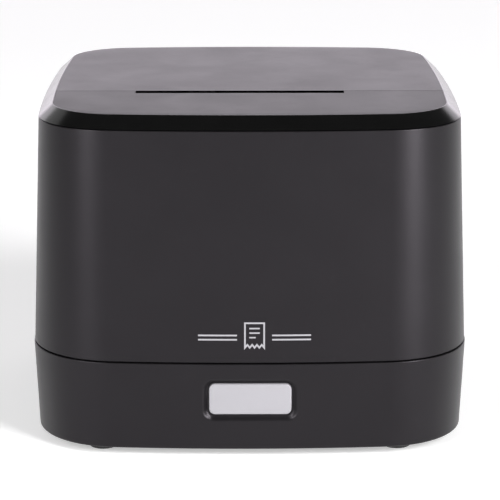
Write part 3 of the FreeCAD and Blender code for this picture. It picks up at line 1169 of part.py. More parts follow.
def make_power_switch():
    """The switch's housing, and its rocker: two faces that meet in a shallow V, on a cross pin."""
    frame = box("switch_frame", "switch_left", "switch_right", "switch_front", "switch_back",
                "switch_bottom", "switch_top")
    well = box("switch_well", "switch_left + switch_wall", "switch_right - switch_wall", "well_front",
               "switch_back + over", "switch_bottom + switch_wall", "switch_top - switch_wall")
    bearing_start = "switch_left + rocker_gap"
    bearing = cylinder("switch_bearing", "rocker_pin + fit_gap",
                       f"switch_right - rocker_gap - ({bearing_start})",
                       (bearing_start, "rocker_y", "rocker_z"), "x")
    keep(cut("switch_cut", frame, [well, bearing]), "switch_housing")
    body = new_body("power_rocker")
    start = "switch_left + switch_wall + rocker_gap"
    profile = sketch_on(body, "rocker_profile", "YZ_Plane", start)
    polygon(profile, [("-rocker_depth", "-rocker_half"), ("-rocker_depth", "rocker_half"),
                      ("rocker_edge", "rocker_reach"), ("rocker_middle", "0"),
                      ("rocker_edge", "-rocker_reach")])
    pad(body, profile, f"switch_right - switch_wall - rocker_gap - ({start})")
    trunnion = sketch_on(body, "rocker_trunnion", "YZ_Plane", f"{start} - rocker_pin_gap")
    circle(trunnion, "0", "0", "rocker_pin")
    pad(body, trunnion, f"switch_right - switch_wall - rocker_gap - ({start}) + 2 * rocker_pin_gap")
    body.Placement = FreeCAD.Placement(Vector(), FreeCAD.Rotation(Vector(1, 0, 0), -number("rocker_tilt")))
    body.setExpression("Placement.Base.y", bound("rocker_y"))
    body.setExpression("Placement.Base.z", bound("rocker_z"))


def make_sensor():
    """The paper-end sensor on the front wall of the bin."""
    front = "bin_y - bin_radius - bin_wall"
    keep(box("paper_sensor_box", "slot_middle - sensor_half", "slot_middle + sensor_half",
             f"{front} - sensor_depth", front, "sensor_bottom", "sensor_top"), "paper_sensor")


def make_mechanism_screws():
    """Four screws that hold the mechanism frame to the inner floor, as one group."""
    group = []
    for x in ("frame_left + fixing_inset", "frame_right - fixing_inset"):
        for y in ("frame_front + fixing_inset", "frame_back - fixing_back"):
            group.append(cylinder("mechanism_screw", "head_radius", "board_head_height",
                                  (x, y, "base_top + tray_thickness + sheet")))
    screws = doc.addObject("Part::Compound", "mechanism_screw_group")
    screws.Links = group
    keep(screws, "mechanism_screws")


make_base_case()
make_feet()
make_case_screws()
make_rating_plate()
make_body_shell()
make_front_deck()
make_deck_panel()
make_tear_bar()
make_lid()
make_lid_panel()
make_hinge_pins()
make_lid_liner()
make_platen()
feed_motor_centre = make_feed_train()
make_mechanism_frame(feed_motor_centre)
make_print_head()
make_ribbon()
make_cutter()
make_latch()
make_release_button()
make_feed_button()
make_roll_bin()
make_board()
make_sockets()
make_port_plate()
make_power_switch()
make_sensor()
make_mechanism_screws()

doc.recompute()
for item in doc.Objects:
    if "Invalid" in item.State or "Error" in item.State:
        raise RuntimeError(f"{item.Name} failed: {item.State}")
os.makedirs("parts", exist_ok=True)
for item in nodes:
    if item.Shape.isNull() or not item.Shape.isValid():
        raise RuntimeError(f"{item.Label} has no valid shape")
    item.Shape.exportStep(f"parts/{item.Label}.step")
print(len(nodes), "sub-parts written")
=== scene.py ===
"""The looks of the receipt printer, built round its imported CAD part. Lengths are in millimetres
until a mesh or a light is made; +X is the printer's right as seen from the front, -Y its front."""

import math

import bpy
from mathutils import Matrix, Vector


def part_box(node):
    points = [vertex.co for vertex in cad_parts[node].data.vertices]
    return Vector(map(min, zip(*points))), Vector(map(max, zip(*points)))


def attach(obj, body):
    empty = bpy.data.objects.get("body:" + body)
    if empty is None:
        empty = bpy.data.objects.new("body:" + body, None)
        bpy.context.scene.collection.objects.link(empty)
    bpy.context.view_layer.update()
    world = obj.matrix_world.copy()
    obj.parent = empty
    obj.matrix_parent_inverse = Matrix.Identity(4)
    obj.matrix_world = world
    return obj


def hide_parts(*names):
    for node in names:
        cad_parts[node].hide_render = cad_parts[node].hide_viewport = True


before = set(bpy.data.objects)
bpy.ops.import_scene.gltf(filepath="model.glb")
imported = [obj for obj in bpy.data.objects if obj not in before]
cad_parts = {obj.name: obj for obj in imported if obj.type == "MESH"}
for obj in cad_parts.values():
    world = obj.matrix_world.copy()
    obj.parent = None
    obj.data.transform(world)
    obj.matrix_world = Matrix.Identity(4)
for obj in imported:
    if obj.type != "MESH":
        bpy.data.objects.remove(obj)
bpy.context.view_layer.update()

MM = 0.001


# ---------------------------------------------------------------- sizes

def cad_box(node):
    """The low and high corners of a CAD node's box, in millimetres."""
    return [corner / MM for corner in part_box(node)]


case_low, case_high = cad_box("base_case")
shell_low, shell_high = cad_box("body_shell")
rim_high = cad_box("lid")[1]
bar_low, bar_high = cad_box("tear_bar")
# A length too small to see: keeps the outer skin just inside the CAD's box
HAIR = 0.01
HALF_WIDTH = case_high.x - HAIR
HALF_DEPTH = case_high.y - HAIR

# The plan at its widest: two bows, each with its own radius, and corner arcs tangent to both
BOW_FRONT = 616.5
BOW_SIDE = 1137.0
CORNER = 33.3
FRONT_Y = BOW_FRONT - HALF_DEPTH
SIDE_X = HALF_WIDTH - BOW_SIDE
SIDES = {"front": (-math.pi / 2, BOW_FRONT, (0.0, FRONT_Y)),
         "right": (0.0, BOW_SIDE, (SIDE_X, 0.0)),
         "rear": (math.pi / 2, BOW_FRONT, (0.0, -FRONT_Y)),
         "left": (math.pi, BOW_SIDE, (-SIDE_X, 0.0))}
CORNER_STEPS = 22
BOW_STEPS = 18
RUN_STEPS = 12

# How far each edge is set in from the widest plan, the walls' thicknesses, and the clearance between parts
BASE_INSET = 1.475
SHELL_LIP = 0.3
RIM_INSET = 3.68
TOP_INSET = 8.77
PANEL_RECESS = 9.17
PANEL_INSET = 9.22
BASE_WALL = 3.9
BASE_FLOOR = 2.5
WALL = 2.5
RIM_HEIGHT = 4.64
RIM_WALL = 2.4
PANEL_DEPTH = 0.8
CLEARANCE = 0.05
RIM_BOTTOM = rim_high.z - RIM_HEIGHT

# The seam across the top, and the paper slot in it
SEAM = -27.83
HALF_SEAM = 0.15
SLOT = (bar_low.x - CLEARANCE, bar_high.x + CLEARANCE)
LEDGE_FRONT = bar_low.y - CLEARANCE
LEDGE_LEVEL = bar_low.z
SLOT_FRONT = -29.5

BUTTON = {"half_across": 15.15, "half_up": 5.85, "radius": 2.2, "centre": (0.0, 22.75)}
BUTTON_GAP = 0.3
RECESS = {"half_across": 17.8, "half_up": 8.4, "radius": 4.0, "centre": (0.0, 22.5)}
RECESS_FLOOR = 83.1
PORT = {"half_across": 56.0, "half_up": 11.25, "radius": 0.8, "centre": (0.0, 18.75)}
PORT_FRAME = (76.0, 79.4)
RELEASE = {"half_across": 7.0, "half_up": 4.0, "radius": 3.7, "centre": (-14.0, 107.0)}
RELEASE_FLANGE = (74.6, 76.2)
HINGE_Y = 82.0
HINGE_Z = 119.5
KNUCKLE = 2.79
KNUCKLES = ((6.0, 13.7), (24.3, 32.0))
LID_KNUCKLE = (14.0, 24.0)
BOSS_X = 67.2
BOSS_Y = 68.3
BADGE_CENTRE = (1.55, 47.3)
BADGE_RAISED = 0.03
BADGE_SUNK = 0.05

# The faint lilac of the case's finish and of the light it mirrors from behind
LILAC_FINISH = (0.98, 0.91, 1.0)
LILAC_LIGHT = (0.995, 0.93, 1.01)


# ---------------------------------------------------------------- materials

def new_material(name):
    """A new node material and its shader."""
    material = bpy.data.materials.new(name)
    material.use_nodes = True
    return material, material.node_tree.nodes["Principled BSDF"]


def stretched(tree, stretch):
    """The piece's own coordinates, stretched along its axes."""
    place = tree.nodes.new("ShaderNodeTexCoord")
    mapping = tree.nodes.new("ShaderNodeMapping")
    mapping.inputs["Scale"].default_value = stretch
    tree.links.new(place.outputs["Object"], mapping.inputs["Vector"])
    return mapping.outputs["Vector"]


def noise(tree, vector, scale, detail, distortion=0.0):
    """A noise field of so many cells a metre."""
    field = tree.nodes.new("ShaderNodeTexNoise")
    field.inputs["Scale"].default_value = scale
    field.inputs["Detail"].default_value = detail
    field.inputs["Distortion"].default_value = distortion
    tree.links.new(vector, field.inputs["Vector"])
    return field.outputs["Fac"]


def remap(tree, value, low, high, to_low, to_high):
    """The value taken from one range to another, and held inside it."""
    reach = tree.nodes.new("ShaderNodeMapRange")
    reach.inputs["From Min"].default_value = low
    reach.inputs["From Max"].default_value = high
    reach.inputs["To Min"].default_value = to_low
    reach.inputs["To Max"].default_value = to_high
    tree.links.new(value, reach.inputs["Value"])
    return reach.outputs["Result"]


def blend(tree, factor, first, second):
    """Two colours mixed by a factor. Either may be a colour or another node's output."""
    mix = tree.nodes.new("ShaderNodeMix")
    mix.data_type = "RGBA"
    tree.links.new(factor, mix.inputs["Factor"])
    for socket, colour in ((mix.inputs["A"], first), (mix.inputs["B"], second)):
        if isinstance(colour, bpy.types.NodeSocket):
            tree.links.new(colour, socket)
        else:
            socket.default_value = (*colour, 1.0)
    return mix.outputs["Result"]


def add(tree, first, second):
    """The sum of two values."""
    total = tree.nodes.new("ShaderNodeMath")
    total.operation = "ADD"
    tree.links.new(first, total.inputs[0])
    tree.links.new(second, total.inputs[1])
    return total.outputs["Value"]


def surface(name, colour, roughness, grain=1800.0, relief=0.03, vary=0.12, wear=0.06,
            stretch=(1.0, 1.0, 1.0), metallic=0.0, specular=0.5, tint=(1.0, 1.0, 1.0), coat=0.0,
            subsurface=0.0):
    """A finish with fine grain, cloudy variation of its colour and patches of wear in its polish."""
    cloud_range = (0.3, 0.7)
    material, shader = new_material(name)
    tree = material.node_tree
    place = stretched(tree, (1.0, 1.0, 1.0))
    along = stretched(tree, stretch)
    cloud = noise(tree, place, 45.0, detail=4.0, distortion=0.4)
    speck = noise(tree, along, grain, detail=2.0)
    rubbed = noise(tree, place, 160.0, detail=8.0, distortion=1.5)

    # The colour drifts a little lighter and darker, and turns paler where it is rubbed
    darker = tuple(channel * (1.0 - vary) for channel in colour)
    lighter = tuple(min(1.0, channel * (1.0 + vary)) for channel in colour)
    clouded = blend(tree, remap(tree, cloud, *cloud_range, 0.0, 1.0), darker, lighter)
    worn = tuple(min(1.0, channel * 1.25 + 0.01) for channel in colour)
    marks = remap(tree, rubbed, 0.60, 0.74, 0.0, wear * 4.0)
    tree.links.new(blend(tree, marks, clouded, worn), shader.inputs["Base Color"])

    # The polish drifts by a few percent, and is duller where it is rubbed
    polish = remap(tree, cloud, *cloud_range, roughness * 0.93, roughness * 1.07)
    scuffs = remap(tree, rubbed, 0.55, 0.75, 0.0, wear)
    tree.links.new(add(tree, polish, scuffs), shader.inputs["Roughness"])

    bump = tree.nodes.new("ShaderNodeBump")
    bump.inputs["Strength"].default_value = relief
    bump.inputs["Distance"].default_value = 0.2 * MM
    tree.links.new(speck, bump.inputs["Height"])
    tree.links.new(bump.outputs["Normal"], shader.inputs["Normal"])

    shader.inputs["Metallic"].default_value = metallic
    shader.inputs["Specular IOR Level"].default_value = specular
    shader.inputs["Specular Tint"].default_value = (*tint, 1.0)
    shader.inputs["Coat Weight"].default_value = coat
    shader.inputs["Coat Roughness"].default_value = 0.08
    shader.inputs["Subsurface Weight"].default_value = subsurface
    shader.inputs["Subsurface Scale"].default_value = 1.0 * MM
    return material


def plastics():
    """The finishes of the mouldings and rubber parts, by the record's slots. The fixed front panel's finish,
    in the slot matte_top, is a darker and duller copy of the panel finish: painted shade for the dimmer
    light it reflects."""
    return {
        "case_plastic": surface("matte_case", (0.0050, 0.0046, 0.0052), 0.34, grain=2600.0,
                                relief=0.10, vary=0.08, wear=0.02, specular=0.26, tint=LILAC_FINISH),
        "matte_top": surface("matte_panel", (0.038, 0.035, 0.039), 0.40, grain=2400.0, relief=0.12,
                             vary=0.06, wear=0.02, specular=0.54, tint=LILAC_FINISH),
        # A darker, duller copy of the panel finish for the fixed front panel: painted shade for its dimmer
        # reflection.
        "matte_deck_painted_shade": surface("matte_deck_painted_shade", (0.030, 0.029, 0.031), 0.42, grain=2400.0, relief=0.12,
                              vary=0.06, wear=0.02, specular=0.45, tint=LILAC_FINISH),
        "gloss_plastic": surface("gloss_rim", (0.002, 0.002, 0.002), 0.19, grain=900.0, relief=0.004,
                                 vary=0.2, wear=0.012),
        "inner_plastic": surface("inner_moulding", (0.012, 0.012, 0.013), 0.45, grain=1500.0, relief=0.15,
                                 wear=0.10),
        "latch_plastic": surface("latch_moulding", (0.020, 0.045, 0.030), 0.42, grain=1500.0, relief=0.12,
                                 wear=0.10),
        "acetal": surface("acetal_white", (0.72, 0.71, 0.67), 0.38, grain=1200.0, relief=0.06, vary=0.05,
                          subsurface=0.15),
        "pale_button": surface("key_cap", (0.280, 0.272, 0.292), 0.36, grain=2400.0, relief=0.05, vary=0.02,
                               wear=0.02),
        "black_component": surface("black_moulding", (0.010, 0.010, 0.011), 0.36, grain=1400.0,
                                   relief=0.15, wear=0.10),
        "light": surface("light_pipe", (0.80, 0.82, 0.80), 0.25, grain=900.0, relief=0.04, vary=0.05,
                         subsurface=0.3),
        "ribbon": surface("ribbon_film", (0.62, 0.60, 0.54), 0.35, grain=1600.0, relief=0.10, vary=0.08,
                          stretch=(1.0, 1.0, 0.04)),
        "rubber": surface("foot_rubber", (0.014, 0.014, 0.014), 0.75, grain=1500.0, relief=0.35, vary=0.2,
                          wear=0.10),
        "roller_rubber": surface("platen_rubber", (0.020, 0.020, 0.021), 0.62, grain=2200.0, relief=0.30,
                                 vary=0.15, wear=0.08, stretch=(0.04, 1.0, 1.0)),
    }


def metals_and_boards():
    """The finishes of the metal parts, the circuit boards and the print head, by the record's slots."""
    along_x = (0.04, 1.0, 1.0)
    along_z = (1.0, 1.0, 0.04)
    return {
        "circuit_board": surface("solder_mask", (0.012, 0.085, 0.035), 0.28, grain=1000.0, relief=0.08,
                                 vary=0.25, coat=0.4),
        "steel": surface("ground_steel", (0.56, 0.56, 0.57), 0.24, grain=2600.0, relief=0.12,
                         metallic=1.0, stretch=along_x),
        "blade_steel": surface("ground_blade", (0.62, 0.62, 0.63), 0.18, grain=3000.0, relief=0.12,
                               metallic=1.0, stretch=along_x),
        "screw_steel": surface("zinc_screw", (0.60, 0.60, 0.58), 0.30, grain=1200.0, relief=0.15,
                               metallic=1.0),
        "zinc_sheet": surface("zinc_plated", (0.55, 0.56, 0.56), 0.34, grain=700.0, relief=0.12,
                              vary=0.16, wear=0.12, metallic=1.0),
        "socket_metal": surface("nickel_shell", (0.62, 0.61, 0.58), 0.26, grain=1800.0, relief=0.10,
                                metallic=1.0),
        "motor_can": surface("motor_steel", (0.42, 0.42, 0.43), 0.33, grain=2600.0, relief=0.14,
                             metallic=1.0, stretch=along_z),
        "foil": surface("label_foil", (0.60, 0.60, 0.61), 0.40, grain=1500.0, relief=0.06, metallic=0.7),
        "aluminium": surface("cast_aluminium", (0.62, 0.62, 0.63), 0.42, grain=1200.0, relief=0.25,
                             metallic=1.0),
        "ceramic": surface("glazed_ceramic", (0.045, 0.035, 0.030), 0.12, grain=900.0, relief=0.03,
                           coat=0.5),
        "brass": surface("turned_brass", (0.68, 0.50, 0.22), 0.26, grain=2400.0, relief=0.12,
                         metallic=1.0),
    }


def paint_nodes():
    """Gives each carried-over part of the frame the finish of its slot."""
    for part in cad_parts.values():
        for place, old in enumerate(part.data.materials):
            part.data.materials[place] = materials[old.name]


# ---------------------------------------------------------------- studio

def softbox(name, azimuth, elevation, distance, size, radiance, colour=(1.0, 1.0, 1.0)):
    """A soft light at an angle round the printer: azimuth 0 is the front, 90 its right side. Distance and
    size are in metres."""
    middle = Vector((0.0, 0.0, 0.06))
    turn = math.radians(azimuth)
    rise = math.radians(elevation)
    offset = Vector((math.sin(turn) * math.cos(rise), -math.cos(turn) * math.cos(rise), math.sin(rise)))
    light = bpy.data.lights.new(name, "AREA")
    light.shape = "RECTANGLE"
    light.size, light.size_y = size
    light.energy = radiance * math.pi * light.size * light.size_y
    light.color = colour
    lamp = bpy.data.objects.new(name, light)
    bpy.context.scene.collection.objects.link(lamp)
    lamp.location = middle + offset * distance
    lamp.rotation_euler = offset.to_track_quat("Z", "Y").to_euler()
    lamp.visible_camera = False


def make_floor():
    """The pale floor the printer stands on, a little bright by itself so that shadows stay soft."""
    reach = 40.0
    mesh = bpy.data.meshes.new("floor")
    corners = [(-reach, -reach, 0.0), (reach, -reach, 0.0), (reach, reach, 0.0), (-reach, reach, 0.0)]
    mesh.from_pydata(corners, [], [(0, 1, 2, 3)])
    floor = bpy.data.objects.new("floor", mesh)
    bpy.context.scene.collection.objects.link(floor)
    material, shader = new_material("floor_paper")
    shader.inputs["Base Color"].default_value = (0.86, 0.86, 0.86, 1.0)
    shader.inputs["Roughness"].default_value = 0.9
    shader.inputs["Specular IOR Level"].default_value = 0.1
    shader.inputs["Emission Color"].default_value = (1.0, 1.0, 1.0, 1.0)
    shader.inputs["Emission Strength"].default_value = 0.36
    mesh.materials.append(material)


def make_studio():
    """A pale floor, a wide backdrop light behind, and soft lights round the front, the rear and above."""
    scene = bpy.context.scene
    scene.view_settings.view_transform = "Standard"
    scene.world = bpy.data.worlds.new("studio")
    scene.world.use_nodes = True
    scene.world.node_tree.nodes["Background"].inputs["Color"].default_value = (0.06, 0.06, 0.06, 1.0)
    make_floor()
    softbox("backdrop", 180.0, 15.0, 2.6, (7.0, 1.3), 1.2, LILAC_LIGHT)
    softbox("backdrop_low", 180.0, 4.0, 2.7, (7.0, 0.8), 0.8, LILAC_LIGHT)
    softbox("back_left", -136.0, 26.0, 2.6, (1.3, 1.5), 0.6)
    softbox("back_right", 146.0, 14.0, 2.6, (1.0, 1.2), 0.35)
    softbox("front_left", -42.0, 20.0, 2.0, (0.6, 1.6), 10.0)
    softbox("front_right", 45.0, 20.0, 2.0, (0.6, 1.6), 22.0)
    softbox("front_fill", 0.0, 34.0, 2.2, (2.4, 0.7), 0.45)
    softbox("top_back", 180.0, 60.0, 2.4, (1.8, 1.0), 0.8)


def make_camera():
    """Straight from the front, a little above, with a long lens."""
    data = bpy.data.cameras.new("camera")
    data.lens = 150.97
    data.sensor_width = 36.0
    camera = bpy.data.objects.new("camera", data)
    bpy.context.scene.collection.objects.link(camera)
    look_down = 0.2572
    turn_right = 0.0057
    camera.location = (-0.00427, -0.81413, 0.27144)
    camera.rotation_euler = (math.pi / 2 - look_down, 0.0, -turn_right)
    bpy.context.scene.camera = camera


# ---------------------------------------------------------------- the case's plan

def corner_centre():
    """The centre of the corner arc at the right rear, tangent to the rear and side bows."""
    reach_front = BOW_FRONT - CORNER
    reach_side = BOW_SIDE - CORNER
    apart = math.hypot(SIDE_X, FRONT_Y)
    along = (reach_front ** 2 - reach_side ** 2 + apart ** 2) / (2.0 * apart)
    across = math.sqrt(reach_front ** 2 - along ** 2)
    x = (along * SIDE_X + across * FRONT_Y) / apart
    y = FRONT_Y - (along * FRONT_Y - across * SIDE_X) / apart
    return x, -y


CORNER_X, CORNER_Y = corner_centre()
TURN_FRONT = math.atan2(CORNER_X, FRONT_Y + CORNER_Y)
TURN_SIDE = math.atan2(CORNER_Y, CORNER_X - SIDE_X)
BOW_TURN = {"front": TURN_FRONT, "right": TURN_SIDE, "rear": TURN_FRONT, "left": TURN_SIDE}


def spread(low, high, steps):
    """Evenly spaced numbers from low to high, both ends included."""
    return [low + (high - low) * step / steps for step in range(steps + 1)]


def column(centre, radius, turn):
    """An upright line of the case: gives its place in the plan for any inset from the widest outline."""
    def place(inset):
        reach = radius - inset
        return (centre[0] + reach * math.cos(turn), centre[1] + reach * math.sin(turn))
    return place


def bow_column(side, along):
    """The upright line on a bowed side, so far along it from its middle."""
    facing, radius, centre = SIDES[side]
    return column(centre, radius, facing + math.asin(along / radius))


def bow_half(side):
    """How far along a bowed side its corner begins."""
    return SIDES[side][1] * math.sin(BOW_TURN[side])


def seam_column(side, y):
    """The upright line where the seam's straight cut meets the right or left side."""
    sign = 1.0 if side == "right" else -1.0

    def place(inset):
        return (sign * (SIDE_X + math.sqrt((BOW_SIDE - inset) ** 2 - y ** 2)), y)
    return place


def corner_columns(side, following):
    """The upright lines round the corner from one side to the next, without its two ends."""
    start = SIDES[side][0] + BOW_TURN[side]
    end = SIDES[side][0] + math.pi / 2 - BOW_TURN[following]
    middle = SIDES[side][0] + math.pi / 4
    centre = (math.copysign(CORNER_X, math.cos(middle)), math.copysign(CORNER_Y, math.sin(middle)))
    return [column(centre, CORNER, turn) for turn in spread(start, end, CORNER_STEPS)[1:-1]]


def ring_columns():
    """All the upright lines, anticlockwise from the left end of the front."""
    order = ["front", "right", "rear", "left"]
    ring = []
    for side, following in zip(order, order[1:] + order[:1]):
        half = bow_half(side)
        ring += [bow_column(side, along) for along in spread(-half, half, BOW_STEPS)]
        ring += corner_columns(side, following)
    return ring


def part_ring(seam, behind):
    """The upright lines behind or ahead of a straight cut across the case, from side to side."""
    half = bow_half("right")
    order = ["right", "rear", "left"] if behind else ["left", "front", "right"]
    stops = spread(seam, half, BOW_STEPS) if behind else spread(-seam, half, BOW_STEPS // 2)
    ring = [seam_column(order[0], seam)]
    ring += [bow_column(order[0], along) for along in stops[1:]]
    ring += corner_columns(order[0], order[1])
    middle = bow_half(order[1])
    ring += [bow_column(order[1], along) for along in spread(-middle, middle, BOW_STEPS)]
    ring += corner_columns(order[1], order[2])
    ring += [bow_column(order[2], -along) for along in stops[::-1][:-1]]
    ring.append(seam_column(order[2], seam))
    return ring


def wall_turn(x, y):
    """The direction in plan that the case's wall faces at a point on it."""
    for side, (facing, _, centre) in SIDES.items():
        turn = math.remainder(math.atan2(y - centre[1], x - centre[0]) - facing, 2.0 * math.pi)
        if x * math.cos(facing) + y * math.sin(facing) > 0.0 and abs(turn) <= BOW_TURN[side]:
            return facing + turn
    return math.atan2(y - math.copysign(CORNER_Y, y), x - math.copysign(CORNER_X, x))


# ---------------------------------------------------------------- building meshes

def rounded(points, closed, steps=5):
    """A profile of (inset, level, radius) points with each corner rounded by a short curve."""
    count = len(points)
    result = []
    for index, (inset, level, radius) in enumerate(points):
        if not radius or (not closed and index in (0, count - 1)):
            result.append((inset, level))
            continue
        here = Vector((inset, level))
        ends = []
        for neighbour in (points[index - 1], points[(index + 1) % count]):
            way = Vector(neighbour[:2]) - here
            ends.append(here + way.normalized() * min(radius, way.length * 0.49))
        for share in spread(0.0, 1.0, steps):
            bend = ends[0] * (1 - share) ** 2 + here * 2 * share * (1 - share) + ends[1] * share ** 2
            result.append((bend.x, bend.y))
    return result


def shade(mesh):
    """Smooth shading but for edges sharper than the small steps of a curve."""
    sharpest_step = math.radians(27.0)
    mesh.polygons.foreach_set("use_smooth", [True] * len(mesh.polygons))
    mesh.set_sharp_from_angle(angle=sharpest_step)


def loose_object(name, solids):
    """One mesh object from solids, each its points in millimetres and its faces."""
    verts = []
    faces = []
    for points, sides in solids:
        start = len(verts)
        verts += [(x * MM, y * MM, z * MM) for x, y, z in points]
        faces += [tuple(start + index for index in side) for side in sides]
    mesh = bpy.data.meshes.new(name)
    mesh.from_pydata(verts, [], faces)
    shade(mesh)
    made = bpy.data.objects.new(name, mesh)
    bpy.context.scene.collection.objects.link(made)
    return made


def solid(loops, closed=False):
    """A solid through loops with the same number of points: capped at both ends, or joined into a ring."""
    count = len(loops[0])
    points = [point for loop in loops for point in loop]
    faces = []
    for row in range(len(loops) if closed else len(loops) - 1):
        above = (row + 1) % len(loops)
        for col in range(count):
            beside = (col + 1) % count
            faces.append((row * count + col, row * count + beside,
                          above * count + beside, above * count + col))
    if not closed:
        faces.append(tuple(range(count))[::-1])
        faces.append(tuple(range((len(loops) - 1) * count, len(loops) * count)))
    return points, faces


def stack(name, loops, closed=False):
    """An object of one solid through loops with the same number of points."""
    return loose_object(name, [solid(loops, closed)])


def carve(piece, tool, operation="DIFFERENCE"):
    """Cuts a tool out of a piece, or joins it on, and takes the tool away."""
    change = piece.modifiers.new("carve", "BOOLEAN")
    change.operation = operation
    change.solver = "EXACT"
    change.object = tool
    bpy.context.view_layer.update()
    done = bpy.data.meshes.new_from_object(piece.evaluated_get(bpy.context.evaluated_depsgraph_get()))
    piece.modifiers.clear()
    old = piece.data
    piece.data = done
    bpy.data.meshes.remove(old)
    bpy.data.objects.remove(tool)
    done.name = piece.name
    shade(done)


def true_normals(piece, lean):
    """Sets the exact directions of the faces on the bowed walls and on the hinge's knuckles, which
    cutting leaves uneven. The walls tilt up by their lean."""
    mesh = piece.data
    near = math.cos(math.radians(4.5))
    skin = 0.1
    normals = []
    for face in mesh.polygons:
        for index in face.loop_indices:
            point = mesh.vertices[mesh.loops[index].vertex_index].co / MM
            turn = wall_turn(point.x, point.y)
            wall = Vector((math.cos(turn) * math.cos(lean), math.sin(turn) * math.cos(lean), math.sin(lean)))
            barrel = Vector((0.0, point.y - HINGE_Y, point.z - HINGE_Z))
            exact = wall
            if abs(barrel.length - KNUCKLE) < skin and barrel.normalized().dot(face.normal) > near:
                exact = barrel.normalized()
            close = exact.dot(face.normal) > near
            normals.append(exact if close else mesh.corner_normals[index].vector.copy())
    mesh.normals_split_custom_set(normals)


def finish_piece(piece, slot, body, *replaced, finish=None):
    """Gives a mesh the material of its slot, and lets it ride on its body in a CAD node's stead. Its
    material is the slot's unless a finish is named."""
    piece.data.materials.clear()
    piece.data.materials.append(materials[finish or slot])
    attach(piece, body)
    if replaced:
        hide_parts(*replaced)


def plan_loop(ring, inset, level):
    """The case's outline at a height, with an inset from the widest plan."""
    return [(*place(inset), level) for place in ring]


def rounded_loop(half_across, half_up, radius, arc_steps=8):
    """A rounded rectangle's (across, up) points, anticlockwise, its straight runs in short strides."""
    loop = []
    for index, (sign_x, sign_y) in enumerate([(1, 1), (-1, 1), (-1, -1), (1, -1)]):
        centre = (sign_x * (half_across - radius), sign_y * (half_up - radius))
        for turn in spread(index * math.pi / 2, (index + 1) * math.pi / 2, arc_steps):
            loop.append((centre[0] + radius * math.cos(turn), centre[1] + radius * math.sin(turn)))
        run = 2.0 * ((half_across if index % 2 == 0 else half_up) - radius)
        end = loop[-1]
        for shift in spread(0.0, run, RUN_STEPS)[1:-1]:
            way = ((-shift, 0), (0, -shift), (shift, 0), (0, shift))[index]
            loop.append((end[0] + way[0], end[1] + way[1]))
    return loop


def on_wall(side, draft, across, level, depth):
    """A point so far under a case wall's outer surface, at a place along the wall and a height."""
    return (*bow_column(side, across)(draft(level) + depth), level)


def on_plane(side, across, level, reach):
    """A point on the upright plane at a distance from the case's middle, facing that side."""
    facing = SIDES[side][0]
    return (reach * math.cos(facing) - across * math.sin(facing),
            reach * math.sin(facing) + across * math.cos(facing), level)


def wall_loop(side, draft, centre, loop, depth):
    """A flat loop laid on a wall or so far under its surface, round a centre."""
    return [on_wall(side, draft, centre[0] + across, centre[1] + up, depth) for across, up in loop]


def plane_loop(side, centre, loop, reach):
    """A flat loop laid on an upright plane, round a centre."""
    return [on_plane(side, centre[0] + across, centre[1] + up, reach) for across, up in loop]


def grown(place, amount):
    """The rounded rectangle of a place, grown or shrunk by an amount all round."""
    smallest_radius = 0.3
    return rounded_loop(place["half_across"] + amount, place["half_up"] + amount,
                        max(smallest_radius, place["radius"] + amount))


def lip_loops(side, draft, place, rounding):
    """Loops that start just outside a wall and round over the edge of an opening into it."""
    outside = 0.1
    first_turn = 0.35
    loops = [wall_loop(side, draft, place["centre"], grown(place, rounding + 0.3), -outside)]
    for turn in spread(first_turn, math.pi / 2, 3):
        grow = rounding * (1.0 - math.sin(turn))
        depth = rounding * (1.0 - math.cos(turn))
        loops.append(wall_loop(side, draft, place["centre"], grown(place, grow), depth))
    return loops


def backwards(loops):
    """The loops in the other order of points, for a solid that runs inwards."""
    return [loop[::-1] for loop in loops]


def block(low, high):
    """A box to cut with or to join on, between two opposite corners."""
    corners = [(low[0], low[1]), (high[0], low[1]), (high[0], high[1]), (low[0], high[1])]
    return stack("tool", [[(x, y, level) for x, y in corners] for level in (low[2], high[2])])


def disc(centre, radius, low, high, steps=64):
    """An upright round bar to cut with or to join on."""
    turns = spread(0.0, 2.0 * math.pi, steps)[:-1]
    return stack("tool", [[(centre[0] + radius * math.cos(turn), centre[1] + radius * math.sin(turn), level)
                           for turn in turns] for level in (low, high)])


def crossbar(outline, start, end):
    """A bar along X with a flat outline of (y, z) points, anticlockwise seen from the right."""
    return stack("tool", [[(x, y, z) for y, z in outline] for x in sorted((start, end))])


def hinge_arc(start, end, steps):
    """Points (y, z) round the hinge's axis at the knuckles' radius."""
    return [(HINGE_Y + KNUCKLE * math.cos(turn), HINGE_Z + KNUCKLE * math.sin(turn))
            for turn in spread(start, end, steps)]


# ---------------------------------------------------------------- base and shell

def base_draft(level):
    """The inset of the base's outer wall at a height: it leans out towards the top."""
    return BASE_INSET * (case_high.z - level) / (case_high.z - case_low.z)


def shell_draft(level):
    """The inset of the tall shell's outer wall at a height: it leans in towards the top."""
    share = (level - shell_low.z) / (shell_high.z - shell_low.z)
    return SHELL_LIP + (RIM_INSET - SHELL_LIP) * share


def cut_button_recess(base):
    """The dished recess round the feed button, and the window that the button comes through."""
    dish = 2.1
    outside = 0.1
    first_share = 0.06
    tighter = 0.6
    centre = RECESS["centre"]
    floor_depth = HALF_DEPTH - base_draft(centre[1]) - RECESS_FLOOR
    loops = [wall_loop("front", base_draft, centre, grown(RECESS, 2.0 * outside), -outside)]
    for share in spread(first_share, 1.0, 12):
        shrink = dish * share
        depth = floor_depth * (1.0 - math.cos(math.pi * share)) / 2
        loop = rounded_loop(RECESS["half_across"] - shrink, RECESS["half_up"] - shrink,
                            RECESS["radius"] - shrink * tighter)
        loops.append(wall_loop("front", base_draft, centre, loop, depth))
    carve(base, stack("tool", backwards(loops)))
    window = grown(BUTTON, BUTTON_GAP)
    window_back = RECESS_FLOOR - 9.0
    window_front = RECESS_FLOOR + 3.0
    carve(base, stack("tool", [plane_loop("front", BUTTON["centre"], window, reach)
                               for reach in (window_back, window_front)]))


